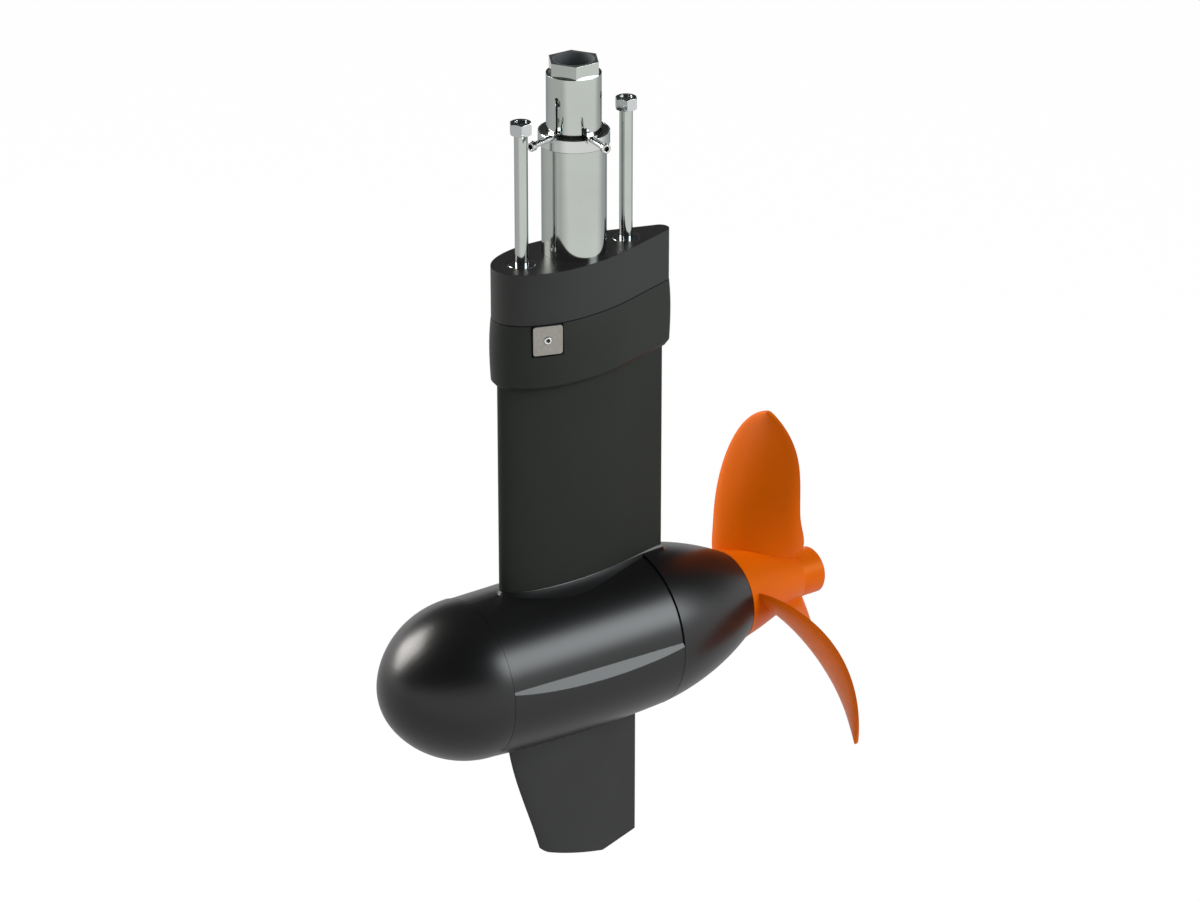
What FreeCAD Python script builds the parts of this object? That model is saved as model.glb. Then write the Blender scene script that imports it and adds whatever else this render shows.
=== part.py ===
import FreeCAD, Part
import math
import os
import Sketcher

# Electric outboard motor: a motor pod with a propeller, carried on a foil-shaped strut.
# Millimetres. +Z is up and +X is aft, towards the propeller.
# The origin is on the axis of the through-hull tube, at the strut head's hull face.

Vector = FreeCAD.Vector
Rotation = FreeCAD.Rotation
Placement = FreeCAD.Placement
UP = Vector(0, 0, 1)
AFT = Vector(1, 0, 0)

DRIVING_SIZES = {
    # Clearances
    "fit_gap": 0.05,
    "seam_gap": 0.3,
    # Strut head, a foil-shaped block against the hull
    "head_height": 48.7,
    "head_widest_x": -20.3,
    "head_nose_length": 64.7,
    "head_half_width": 36.7,
    "head_tail_x": 102.3,
    "head_tail_radius": 8.35,
    "foil_taper": 1.44,
    # Band below the head, which takes the tube, the studs and the leg
    "band_height": 62.6,
    "band_swell": 1.8,
    "band_foot_height": 4.5,
    "band_foot_step": 3.2,
    "tube_socket_depth": 15,
    "cable_passage_radius": 14,
    # Hollow strut leg
    "leg_widest_x": -15,
    "leg_nose_length": 67.5,
    "leg_half_width": 20,
    "leg_tail_x": 96.4,
    "leg_tail_radius": 3,
    "leg_wall": 5,
    "leg_socket_depth": 20,
    "gasket_thickness": 0.6,
    "tie_rod_radius": 4,
    "tie_rod_x": 35,
    "tie_rod_grip": 14,
    "tie_rod_foot_grip": 5.5,
    # Saddle, the flared foot that joins the leg to the pod
    "saddle_half_width": 32.6,
    "saddle_flare_height": 10.5,
    "saddle_nose_length": 76,
    "saddle_tail_x": 104,
    "saddle_tail_radius": 22,
    "saddle_rise": 1,
    # Pod, on an axis along X
    "pod_depth": 387.4,
    "pod_front_x": -117.5,
    "pod_rear_x": 69.2,
    "pod_front_radius": 74.2,
    "pod_rear_radius": 76.1,
    "pod_belly_swell": 3.2,
    "deck_front_radius": 73.4,
    "deck_rear_radius": 74.6,
    "ledge_height": 14.5,
    "ledge_slope": 62,
    "pod_bore": 68,
    "nose_length": 88.6,
    "nose_tip_radius": 58,
    "shell_wall": 5.5,
    "spigot_length": 8,
    "ring_groove_depth": 2,
    "ring_groove_width": 3,
    "tail_end_x": 173,
    "tail_end_radius": 43.8,
    "tail_swell": 5.5,
    # Skeg fin below the pod
    "fin_front_x": -76.6,
    "fin_rear_x": 68.2,
    "fin_half_thickness": 6,
    "fin_foot_depth": 610,
    "fin_sweep": 40,
    "fin_corner_x": 28.5,
    "fin_rear_rise": 10,
    "fin_toe_rise": 16.5,
    "fin_toe_length": 15,
    "fin_toe_bow": 2.5,
    "fin_foot_bow": 1.1,
    # Through-hull tube, its collar and the sliding mast
    "tube_radius": 28.85,
    "tube_wall": 2.4,
    "tube_top": 107,
    "collar_radius": 31.7,
    "collar_wall": 1.5,
    "collar_top": 113.5,
    "collar_height": 11.8,
    "bush_length": 36,
    "mast_radius": 24.4,
    "mast_wall": 2.4,
    "mast_top": 166,
    "mast_foot": 19,
    "mast_slot_width": 2.0,
    "mast_slot_top": 147,
    "mast_slot_foot": 65,
    "keyhole_radius": 1.8,
    "gland_radius": 23.9,
    "gland_height": 12,
    "gland_bore": 18,
    "gland_spigot": 9,
    # Clamp screws in their lugs
    "lug_width": 9,
    "lug_height": 6.6,
    "lug_sink": 2.2,
    "lug_inner_radius": 26.5,
    "lug_outer_radius": 35,
    "clamp_screw_radius": 2.8,
    "clamp_screw_head_radius": 4.4,
    "clamp_screw_head_length": 4.4,
    "clamp_screw_reach": 61.4,
    "guide_screw_angle": -163,
    "lock_screw_angle": -98,
    # Hull studs, M12
    "stud_pitch": 112.6,
    "stud_radius": 6,
    "stud_core_radius": 5.75,
    "stud_top": 130.5,
    "stud_grip": 32,
    "nut_across_flats": 18,
    "nut_height": 10.8,
    "nut_top": 131.5,
    "washer_radius": 12.5,
    "washer_thickness": 2.5,
    "washer_sink": 0.1,
    # Sacrificial anode plate in the band
    "anode_width": 27,
    "anode_thickness": 3.5,
    "anode_x": -52.1,
    "anode_drop": 0.3,
    "anode_corner": 2.4,
    "anode_screw_radius": 2,
    "anode_head_radius": 3.5,
    # Motor inside the pod
    "shaft_radius": 12.5,
    "rotor_seat_radius": 15,
    "shield_x": -80,
    "shield_thickness": 6,
    "shield_rim_step": 2,
    "ledge_ring_radius": 60,
    "ledge_ring_width": 8,
    "shield_screw_circle": 64,
    "screw_radius": 2,
    "screw_head_radius": 3.5,
    "screw_head_length": 4,
    "stator_front_x": -47,
    "stator_length": 92,
    "stator_bore": 46,
    "stator_slots": 24,
    "slot_mouth": 3,
    "winding_length": 14,
    "air_gap": 1,
    "magnet_thickness": 5,
    "magnet_count": 10,
    "bearing_outer": 26,
    "bearing_width": 15,
    "ball_radius": 4,
    "ball_count": 9,
    "rear_bearing_x": 100,
    "seal_radius": 20,
    "seal_x": 150,
    "seal_length": 14,
    "board_radius": 58,
    "board_thickness": 2,
    "standoff_length": 22,
    # Propeller
    "propeller_radius": 184,
    "blade_root_radius": 41,
    "blade_root_x": 218,
    "blade_tip_x": 212,
    "blade_bow": 8.5,
    "root_pitch": 350,
    "tip_pitch": 287,
    "blade_count": 3,
    "blade_start_angle": -14.5,
    "blade_skew": 18.3,
    "blade_chord": 88.5,
    "blade_widest_radius": 90,
    "blade_root_thickness": 11,
    "blade_tip_thickness": 3.4,
    "blade_camber": 5.8,
    "hub_flare_x": 196,
    "hub_flare_radius": 38.3,
    "boss_start_x": 251,
    "boss_radius": 22.2,
    "boss_end_x": 276,
    "propeller_seat_radius": 12,
    "thrust_washer_radius": 20,
    "thrust_washer_thickness": 3,
    "drive_pin_radius": 3,
    "drive_pin_x": 196,
    "thread_radius": 8,
    "lock_nut_across_flats": 24,
    "lock_nut_height": 12,
    "nut_recess_radius": 15.5,
}

os.makedirs("parts", exist_ok=True)
doc = FreeCAD.newDocument("electric_outboard_motor")
sheet = doc.addObject("Spreadsheet::Sheet", "sizes")
for row, (alias, number) in enumerate(DRIVING_SIZES.items(), start=1):
    sheet.set("A%d" % row, alias.replace("_", " "))
    sheet.set("B%d" % row, str(number))
    sheet.setAlias("B%d" % row, alias)
doc.recompute()


class Size:
    """A size from the sheet, or one worked out from several, with the expression that says how."""

    def __init__(self, value, text):
        self.value = value
        self.text = text

    def __add__(self, other):
        other = as_size(other)
        return Size(self.value + other.value, "(%s + %s)" % (self.text, other.text))

    def __sub__(self, other):
        other = as_size(other)
        return Size(self.value - other.value, "(%s - %s)" % (self.text, other.text))

    def __mul__(self, other):
        other = as_size(other)
        return Size(self.value * other.value, "(%s * %s)" % (self.text, other.text))

    def __truediv__(self, other):
        other = as_size(other)
        return Size(self.value / other.value, "(%s / %s)" % (self.text, other.text))

    def __neg__(self):
        return Size(-self.value, "(-1 * %s)" % self.text)


def as_size(number):
    return number if isinstance(number, Size) else Size(float(number), "(%s)" % float(number))


def size(alias):
    return Size(float(sheet.get(alias)), "sizes.%s" % alias)


def bind(thing, name, amount):
    """Tie one property of a document object to the sheet."""
    thing.setExpression(name, as_size(amount).text)


# Sizes used in many places
gap = size("fit_gap")
seam = size("seam_gap")
pod_drop = -size("pod_depth")
band_top = -size("head_height")
band_foot = band_top - size("band_height")
leg_top = band_foot + size("leg_socket_depth")
saddle_top = pod_drop + size("pod_rear_radius") + size("saddle_rise") - size("gasket_thickness")
leg_foot = saddle_top + size("gasket_thickness")
stud_hole = size("stud_core_radius") + gap
spigot_radius = size("pod_bore") - gap
bearing_pitch = (size("bearing_outer") + size("shaft_radius")) / 2
front_bearing_x = size("shield_x") - size("bearing_width") - 1
shaft_shoulder_x = front_bearing_x + size("bearing_width")
ledge_front_x = size("shield_x") + size("shield_thickness") + size("shield_rim_step")
stator_rear_x = size("stator_front_x") + size("stator_length")
hub_front_x = size("tail_end_x") + seam * 2


# Sketches and solids of revolution

def sketch_on(body, role, name):
    plane = [item for item in body.Origin.OriginFeatures if item.Role == role][0]
    sketch = body.newObject("Sketcher::SketchObject", name)
    sketch.AttachmentSupport = (plane, [""])
    sketch.MapMode = "FlatFace"
    return sketch


def arc_between(start, end, radius):
    """The short arc from start to end; a positive radius bulges to the left of the way."""
    half = (end - start) * 0.5
    left = Vector(-half.y, half.x, 0).normalize()
    reach = math.sqrt(max(radius * radius - half.Length ** 2, 0))
    centre = start + half - left * math.copysign(reach, radius)
    circle = Part.Circle(centre, UP, abs(radius))
    first, last = (end, start) if radius > 0 else (start, end)
    angles = [math.atan2(spot.y - centre.y, spot.x - centre.x) for spot in (first, last)]
    if angles[1] < angles[0]:
        angles[1] += 2 * math.pi
    return Part.ArcOfCircle(circle, angles[0], angles[1])


def draw(sketch, corners):
    """Draw a closed outline through the corners, tied to the sheet.

    A corner is (across, up). A third value is the radius of the arc that leads to it.
    """
    spots = [Vector(as_size(corner[0]).value, as_size(corner[1]).value, 0) for corner in corners]
    ends = []
    for number, corner in enumerate(corners):
        start, end = spots[number - 1], spots[number]
        if len(corner) == 3:
            radius = as_size(corner[2])
            edge = sketch.addGeometry(arc_between(start, end, radius.value))
            magnitude = radius if radius.value > 0 else -radius
            tie = sketch.addConstraint(Sketcher.Constraint("Radius", edge, magnitude.value))
            sketch.setExpression("Constraints[%d]" % tie, magnitude.text)
            ends.append((edge, 2, 1) if radius.value > 0 else (edge, 1, 2))
        else:
            edge = sketch.addGeometry(Part.LineSegment(start, end))
            ends.append((edge, 1, 2))
    count = len(corners)
    for number in range(count):
        edge, begin, finish = ends[number]
        after, after_begin, after_finish = ends[(number + 1) % count]
        sketch.addConstraint(Sketcher.Constraint("Coincident", edge, finish, after, after_begin))
        for kind, amount in zip(("DistanceX", "DistanceY"), corners[number]):
            amount = as_size(amount)
            tie = sketch.addConstraint(Sketcher.Constraint(kind, -1, 1, edge, finish, amount.value))
            if "sizes" in amount.text:
                sketch.setExpression("Constraints[%d]" % tie, amount.text)


def draw_circle(sketch, across, up, radius):
    across, up, radius = as_size(across), as_size(up), as_size(radius)
    circle = Part.Circle(Vector(across.value, up.value, 0), UP, radius.value)
    edge = sketch.addGeometry(circle)
    ties = [("Radius", (edge,), radius), ("DistanceX", (-1, 1, edge, 3), across),
            ("DistanceY", (-1, 1, edge, 3), up)]
    for kind, where, amount in ties:
        tie = sketch.addConstraint(Sketcher.Constraint(kind, *where, amount.value))
        if "sizes" in amount.text:
            sketch.setExpression("Constraints[%d]" % tie, amount.text)


def turned(name, corners, axis):
    """A body turned from a half section: about the sketch's H_Axis (along X) or V_Axis (along Z)."""
    body = doc.addObject("PartDesign::Body", name)
    profile = sketch_on(body, "XZ_Plane", name + "_profile")
    draw(profile, corners)
    solid = body.newObject("PartDesign::Revolution", name + "_turned")
    solid.Profile = profile
    solid.ReferenceAxis = (profile, [axis])
    solid.Angle = 360
    return body


def turned_upright(name, corners):
    return turned(name, corners, "V_Axis")


def turned_on_pod_axis(name, corners):
    body = turned(name, corners, "H_Axis")
    bind(body, "Placement.Base.z", pod_drop)
    return body


def ring_section(inner, outer, start, end, upright=False):
    """Half section of a plain ring between two radii."""
    if upright:
        return [(inner, start), (outer, start), (outer, end), (inner, end)]
    return [(start, inner), (end, inner), (end, outer), (start, outer)]


def cut_from(body, name, sketch, length, both_ways=False, backwards=False):
    pocket = body.newObject("PartDesign::Pocket", name)
    pocket.Profile = sketch
    pocket.Midplane = both_ways
    pocket.Reversed = backwards
    bind(pocket, "Length", length)
    body.Tip = pocket
    return pocket


def repeat_round(body, name, features, axis_role, count):
    pattern = body.newObject("PartDesign::PolarPattern", name)
    pattern.Originals = features
    axis = [item for item in body.Origin.OriginFeatures if item.Role == axis_role][0]
    pattern.Axis = (axis, [""])
    pattern.Angle = 360
    bind(pattern, "Occurrences", count)
    body.Tip = pattern
    return pattern


# Primitives and booleans

def cylinder(name, radius, start, length, across=0, along_x=False):
    """A bound cylinder: upright at X = across, or along X on the pod axis from X = start."""
    rod = doc.addObject("Part::Cylinder", name)
    bind(rod, "Radius", radius)
    bind(rod, "Height", length)
    if along_x:
        rod.Placement = Placement(Vector(0, 0, 0), Rotation(Vector(0, 1, 0), 90))
        bind(rod, "Placement.Base.x", start)
        bind(rod, "Placement.Base.z", pod_drop)
    else:
        bind(rod, "Placement.Base.x", across)
        bind(rod, "Placement.Base.z", start)
    return rod


def cut(name, base, tools):
    tool = tools[0] if len(tools) == 1 else fuse(name + "_tools", tools)
    result = doc.addObject("Part::Cut", name)
    result.Base = base
    result.Tool = tool
    return result


def fuse(name, shapes, refine=False):
    result = doc.addObject("Part::MultiFuse", name)
    result.Shapes = shapes
    result.Refine = refine
    return result


def group(name, members):
    result = doc.addObject("Part::Compound", name)
    result.Links = members
    return result


def shape_feature(name, shape):
    feature = doc.addObject("Part::Feature", name)
    feature.Shape = shape
    return feature


# Foil outlines

def foil_wire(widest_x, nose_length, half_width, tail_x, tail_radius, height=0.0, grow=0.0):
    """A foil seen from above: half an ellipse forward, two tangent arcs and a small round tail."""
    nose = nose_length.value + grow
    width = half_width.value + grow
    tail = tail_radius.value + grow * 0.5
    middle_x = widest_x.value
    tail_centre = tail_x.value + grow - tail
    taper = math.atan(size("foil_taper").value * (width - tail) / (tail_centre + tail - middle_x))
    touch = Vector(tail_centre + tail * math.sin(taper), tail * math.cos(taper), 0)
    rise = (touch.x - middle_x) * math.sin(taper) - (width - touch.y) * math.cos(taper)
    flank = rise / (1 - math.cos(taper))
    bend = Vector(middle_x + flank * math.sin(taper), width - flank * (1 - math.cos(taper)), 0)
    half_bend = Vector(middle_x + flank * math.sin(taper / 2),
                       width - flank * (1 - math.cos(taper / 2)), 0)
    shoulder = Vector(middle_x, width, 0)
    tip = Vector(tail_centre + tail, 0, 0)

    def other_side(spot):
        return Vector(spot.x, -spot.y, 0)

    if nose >= width:
        ellipse = Part.Ellipse(Vector(middle_x - nose, 0, 0), shoulder, Vector(middle_x, 0, 0))
    else:
        ellipse = Part.Ellipse(shoulder, Vector(middle_x - nose, 0, 0), Vector(middle_x, 0, 0))
    first = ellipse.parameter(shoulder)
    last = ellipse.parameter(other_side(shoulder))
    nose_edge = Part.ArcOfEllipse(ellipse, first, last).toShape()
    if abs(nose_edge.BoundBox.XMin - (middle_x - nose)) > 0.5:
        nose_edge = Part.ArcOfEllipse(ellipse, last, first).toShape()
    edges = [
        nose_edge,
        Part.Arc(other_side(shoulder), other_side(half_bend), other_side(bend)).toShape(),
        Part.LineSegment(other_side(bend), other_side(touch)).toShape(),
        Part.Arc(other_side(touch), tip, touch).toShape(),
        Part.LineSegment(touch, bend).toShape(),
        Part.Arc(bend, half_bend, shoulder).toShape(),
    ]
    wire = Part.Wire(Part.__sortEdges__(edges))
    wire.translate(Vector(0, 0, height))
    return wire


def head_wire(height, grow=0.0):
    return foil_wire(size("head_widest_x"), size("head_nose_length"), size("head_half_width"),
                     size("head_tail_x"), size("head_tail_radius"), height, grow)


def leg_wire(height, grow=0.0):
    return foil_wire(size("leg_widest_x"), size("leg_nose_length"), size("leg_half_width"),
                     size("leg_tail_x"), size("leg_tail_radius"), height, grow)


def flare_wire(height, share):
    """An outline part of the way from the leg's to that of the saddle's foot."""
    def between(part):
        at_leg = size("leg_" + part)
        return at_leg + (size("saddle_" + part) - at_leg) * share
    return foil_wire(size("leg_widest_x"), between("nose_length"), between("half_width"),
                     between("tail_x"), between("tail_radius"), height)


def raised(name, wire, low, high):
    """A foil prism: the outline as an object of its own, and its extrusion bound to the sheet."""
    outline = shape_feature(name + "_outline", Part.Face(wire))
    bind(outline, "Placement.Base.z", low)
    prism = doc.addObject("Part::Extrusion", name)
    prism.Base = outline
    prism.DirMode = "Custom"
    prism.Dir = UP
    prism.Solid = True
    bind(prism, "LengthFwd", high - low)
    return prism


# Strut: head, band, leg and gasket

def stud_x(side):
    return size("stud_pitch") * (0.5 * side)


def make_strut_head():
    block = raised("strut_head_block", head_wire(0), band_top, as_size(0))
    holes = [cylinder("head_tube_hole", size("tube_radius") + gap, band_top - 1,
                      size("head_height") + 2)]
    washer_foot = -(size("washer_thickness") + size("washer_sink"))
    for side in (-1, 1):
        holes.append(cylinder("head_stud_hole_%d" % (side + 2), stud_hole, band_top - 1,
                              size("head_height") + 2, stud_x(side)))
        holes.append(cylinder("head_washer_recess_%d" % (side + 2), size("washer_radius") + seam,
                              washer_foot, size("washer_thickness") * 2, stud_x(side)))
    return cut("strut_head", block, holes)


def anode_spot():
    """Middle of the anode plate's outer face, and the way that this face looks."""
    widest = size("head_widest_x").value
    nose = size("head_nose_length").value
    width = size("head_half_width").value + size("band_swell").value
    share = (size("anode_x").value - widest) / nose
    share = max(-0.9, min(share, -0.05))
    depth = math.sqrt(1 - share * share)
    spot = Vector(widest + share * nose, -width * depth, 0)
    outwards = Vector(share / nose, -depth / width, 0).normalize()
    spot.z = band_top.value - size("anode_drop").value - size("anode_width").value / 2
    return spot, outwards


def anode_placement(inset):
    """Places a piece whose local +Z looks out of the band, inset below the plate's outer face."""
    spot, outwards = anode_spot()
    across = UP.cross(outwards)
    turn = Rotation(across, UP, outwards, "ZXY")
    return Placement(spot - outwards * inset, turn)


def square_plate(name, width, thickness, corner):
    plate = doc.addObject("PartDesign::Body", name)
    outline = sketch_on(plate, "XY_Plane", name + "_outline")
    half = width / 2
    flat = half - corner
    draw(outline, [
        (flat, -half), (half, -flat, -corner), (half, flat), (flat, half, -corner),
        (-flat, half), (-half, flat, -corner), (-half, -flat), (-flat, -half, -corner),
    ])
    pad = plate.newObject("PartDesign::Pad", name + "_pad")
    pad.Profile = outline
    bind(pad, "Length", thickness)
    return plate


def make_strut_band():
    swell = size("band_swell").value
    top = band_top.value
    foot = band_foot.value
    bevel_top = foot + size("band_foot_height").value
    middle = (top + bevel_top) / 2
    wires = [head_wire(top, 0.2), head_wire((top + middle) / 2, swell * 0.8), head_wire(middle, swell),
             head_wire(bevel_top, swell * 0.4)]
    upper = shape_feature("band_upper", Part.makeLoft(wires, True, False))
    bevel_wires = [head_wire(bevel_top, swell * 0.4), head_wire(foot, -size("band_foot_step").value)]
    lower = shape_feature("band_lower", Part.makeLoft(bevel_wires, True, True))
    socket = raised("leg_socket", leg_wire(0, gap.value), band_foot - 1, leg_top)
    tube_foot = band_top - size("tube_socket_depth")
    tools = [
        socket,
        cylinder("tube_socket", size("tube_radius") + gap, tube_foot, size("tube_socket_depth") + 1),
        cylinder("band_cable_passage", size("cable_passage_radius"), leg_top - 1,
                 tube_foot - leg_top + 2),
    ]
    for side in (-1, 1):
        tools.append(cylinder("band_stud_hole_%d" % (side + 2), stud_hole,
                              band_top - size("stud_grip"), size("stud_grip") + 1, stud_x(side)))
        tools.append(cylinder("band_tie_hole_%d" % (side + 2), size("tie_rod_radius") + gap,
                              leg_top - 1, size("tie_rod_grip") + 1, size("tie_rod_x") * side))
    recess = square_plate("anode_recess", size("anode_width") + seam * 4,
                          size("anode_thickness") + size("leg_wall"), size("anode_corner"))
    recess.Placement = anode_placement(size("anode_thickness").value)
    tools.append(recess)
    screw_hole = doc.addObject("Part::Cylinder", "anode_screw_hole")
    bind(screw_hole, "Radius", size("anode_screw_radius") + gap)
    bind(screw_hole, "Height", size("anode_thickness") * 3)
    screw_hole.Placement = anode_placement(size("anode_thickness").value * 2.5)
    tools.append(screw_hole)
    return cut("strut_band", fuse("band_blank", [upper, lower]), tools)


def make_strut_leg():
    outer = raised("leg_outer", leg_wire(0), leg_foot, leg_top - gap)
    inner = raised("leg_hollow", leg_wire(0, -size("leg_wall").value), leg_foot - 1, leg_top + 1)
    return cut("strut_leg", outer, [inner])


def make_leg_gasket():
    outer = raised("gasket_outer", leg_wire(0, -seam.value), saddle_top, leg_foot)
    inner = raised("gasket_hollow", leg_wire(0, -size("leg_wall").value), saddle_top - 1, leg_foot + 1)
    return cut("leg_gasket", outer, [inner])


def tie_rod_foot():
    return saddle_top - size("tie_rod_foot_grip")


def make_leg_tie_rods():
    rods = []
    for side in (-1, 1):
        rods.append(cylinder("tie_rod_%d" % (side + 2), size("tie_rod_radius"), tie_rod_foot() + gap,
                             leg_top + size("tie_rod_grip") - tie_rod_foot() - gap * 2,
                             size("tie_rod_x") * side))
    return group("leg_tie_rods", rods)


# Pod: housing with saddle, nose, tail and their seals

def belly_section(grow=0):
    """Half section of the pod's belly, which swells a little between its two seams."""
    front, rear = size("pod_front_x"), size("pod_rear_x")
    length = rear - front
    rise = size("pod_rear_radius") - size("pod_front_radius")
    swell = size("pod_belly_swell")
    belly_radius = (length * length + rise * rise) / (swell * 8) + swell / 2
    return [(front, as_size(0)), (rear, as_size(0)), (rear, size("pod_rear_radius") + grow),
            (front, size("pod_front_radius") + grow, -belly_radius)]


def make_saddle():
    """The whole saddle, down to its root inside the pod's wall."""
    flare = size("saddle_flare_height").value
    top = saddle_top.value
    levels = ((0, 0), (0.3, 0.24), (0.6, 0.54), (1, 1))
    wires = [flare_wire(top - flare * drop, share) for drop, share in levels]
    skirt = shape_feature("saddle_flare", Part.makeLoft(wires, True, False))
    root_top = saddle_top - size("saddle_flare_height")
    root = raised("saddle_root", flare_wire(0, 1), pod_drop + size("pod_bore") * 0.85, root_top)
    return fuse("saddle", [skirt, root])


def make_rear_block():
    """A block that holds all of the saddle behind the seam with the tail housing."""
    block = doc.addObject("Part::Box", "saddle_rear_block")
    bind(block, "Length", size("saddle_tail_x") * 2)
    bind(block, "Width", size("saddle_half_width") * 4)
    bind(block, "Height", size("pod_depth"))
    bind(block, "Placement.Base.x", size("pod_rear_x"))
    bind(block, "Placement.Base.y", -size("saddle_half_width") * 2)
    bind(block, "Placement.Base.z", pod_drop)
    return block


def make_pod_housing(saddle, rear_block):
    front, rear = size("pod_front_x"), size("pod_rear_x")
    belly = turned_on_pod_axis("pod_belly", belly_section())
    # The deck: a plain barrel above two sloping ledges, cut back from the belly's swell
    ledge = sketch_on(belly, "YZ_Plane", "ledge_profile")
    low_side = size("deck_front_radius").value
    beam = size("deck_front_radius") * 2
    ledge_y = math.sqrt(low_side ** 2 - size("ledge_height").value ** 2)
    drop = (beam.value - ledge_y) * math.tan(math.radians(size("ledge_slope").value))
    up = size("ledge_height")
    draw(ledge, [(ledge_y, up), (beam, up - drop), (beam, beam), (-beam, beam), (-beam, up - drop),
                 (-ledge_y, up)])
    cut_from(belly, "ledge_cut", ledge, (rear - front) * 4, both_ways=True)
    deck = turned_on_pod_axis("pod_deck", [
        (front, as_size(0)), (rear, as_size(0)), (rear, size("deck_rear_radius")),
        (front, size("deck_front_radius"))])
    pod_saddle = cut("pod_saddle", saddle, [rear_block])
    blank = fuse("pod_housing_blank", [belly, deck, pod_saddle])
    ledge_end = ledge_front_x + size("ledge_ring_width")
    tools = [
        cylinder("pod_front_bore", size("pod_bore"), front - 1, ledge_front_x - front + 1, along_x=True),
        cylinder("pod_ledge_bore", size("ledge_ring_radius"), ledge_front_x - 1,
                 size("ledge_ring_width") + 2, along_x=True),
        cylinder("pod_stator_bore", size("pod_bore"), ledge_end, rear - ledge_end + 1, along_x=True),
        cylinder("saddle_cable_hole", size("stud_radius"), pod_drop + size("ledge_ring_radius") / 2,
                 saddle_top - pod_drop, ledge_front_x + size("ledge_ring_width") / 2),
    ]
    for side in (-1, 1):
        tools.append(cylinder("saddle_tie_hole_%d" % (side + 2), size("tie_rod_radius") + gap,
                              tie_rod_foot(), size("tie_rod_foot_grip") + 1,
                              size("tie_rod_x") * side))
    for number in range(4):
        hole = cylinder("ledge_screw_hole_%d" % number, size("screw_radius") + gap, ledge_front_x - 1,
                        size("ledge_ring_width"), along_x=True)
        place_round(hole, number, ledge_front_x - 1)
        tools.append(hole)
    return cut("pod_housing", blank, tools)


def place_round(rod, number, start):
    """Moves a rod along X to one of four places on the shield's screw circle."""
    angle = 45 + 90 * number
    circle = size("shield_screw_circle")
    bind(rod, "Placement.Base.x", start)
    bind(rod, "Placement.Base.y", circle * math.cos(math.radians(angle)))
    bind(rod, "Placement.Base.z", pod_drop + circle * math.sin(math.radians(angle)))


def nose_flank(wall):
    """The nose's two arcs, drawn from the seam to the tip and set in by a wall."""
    front = size("pod_front_x")
    tip_radius = size("nose_tip_radius")
    side = size("pod_front_radius")
    step = size("nose_length") - tip_radius
    flank = (step * step + side * side - tip_radius * tip_radius) / ((side - tip_radius) * 2)
    reach = flank - tip_radius
    tip_centre = front - step
    joint_x = tip_centre - (tip_radius - wall) * step / reach
    joint_y = (tip_radius - wall) * (flank - side) / reach
    tip_x = tip_centre - tip_radius + wall
    return joint_x, joint_y, tip_x, flank - wall, tip_radius - wall


def ring_groove(front):
    """Start and depth of an O-ring groove in a spigot that begins at front."""
    start = front + size("spigot_length") * 0.5 - size("ring_groove_width") * 0.5
    return start, start + size("ring_groove_width"), spigot_radius - size("ring_groove_depth")


def make_nose_cone():
    """Nose shell: two arcs outside, a cone and a flat end inside, and the spigot behind."""
    front = size("pod_front_x")
    wall = size("shell_wall")
    side = size("pod_front_radius")
    joint_x, joint_y, tip_x, flank, tip = nose_flank(as_size(0))
    inner_x, inner_y = nose_flank(wall * 2)[:2]
    spigot_bore = spigot_radius - wall
    groove_start, groove_end, groove_floor = ring_groove(front)
    spigot_end = front + size("spigot_length")
    return turned_on_pod_axis("nose_cone", [
        (inner_x, as_size(0)),
        (tip_x, as_size(0)),
        (joint_x, joint_y, tip),
        (front, side, flank),
        (front, spigot_radius),
        (groove_start, spigot_radius),
        (groove_start, groove_floor),
        (groove_end, groove_floor),
        (groove_end, spigot_radius),
        (spigot_end, spigot_radius),
        (spigot_end, spigot_bore),
        (front - wall * 2, spigot_bore),
        (inner_x, inner_y),
    ])


def make_tail_housing(saddle, rear_block):
    """Tapered tail shell with the rear bearing's seat, the seal's seat and the saddle's rear end."""
    front, end = size("pod_rear_x"), size("tail_end_x")
    side, end_radius = size("pod_rear_radius"), size("tail_end_radius")
    fall = side - end_radius
    swell = size("tail_swell")
    run = end - front
    curve = (run * run + fall * fall) / (swell * 8) + swell / 2
    wall = size("shell_wall")
    spigot_front = front - size("spigot_length")
    spigot_bore = spigot_radius - wall
    groove_start, groove_end, groove_floor = ring_groove(spigot_front)
    seat_x = size("rear_bearing_x")
    seat_end = seat_x + size("bearing_width") + gap
    seat = size("bearing_outer") + gap
    sleeve = seat + wall
    seal_end = size("seal_x") + size("seal_length") + gap
    pocket_end = size("seal_x") - wall
    pocket_radius = end_radius + wall
    neck = size("shaft_radius") + wall
    shell = turned_on_pod_axis("tail_shell", [
        (spigot_front, spigot_bore),
        (front + wall, spigot_bore),
        (pocket_end, pocket_radius),
        (pocket_end, sleeve),
        (seat_x, sleeve),
        (seat_x, seat),
        (seat_end, seat),
        (seat_end, seat - wall),
        (size("seal_x"), seat - wall),
        (size("seal_x"), size("seal_radius") + gap),
        (seal_end, size("seal_radius") + gap),
        (seal_end, neck),
        (end, neck),
        (end, end_radius),
        (front, side, -curve),
        (front, spigot_radius),
        (groove_end, spigot_radius),
        (groove_end, groove_floor),
        (groove_start, groove_floor),
        (groove_start, spigot_radius),
        (spigot_front, spigot_radius),
    ])
    rear_end = doc.addObject("Part::Common", "saddle_rear_end")
    rear_end.Base = saddle
    rear_end.Tool = rear_block
    core = turned_on_pod_axis("tail_core", [
        (front - 1, as_size(0)), (end, as_size(0)), (end, end_radius - wall / 2),
        (front, side - wall / 2, -curve), (front - 1, side - wall / 2)])
    return fuse("tail_housing", [shell, cut("tail_saddle", rear_end, [core])])


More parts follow.
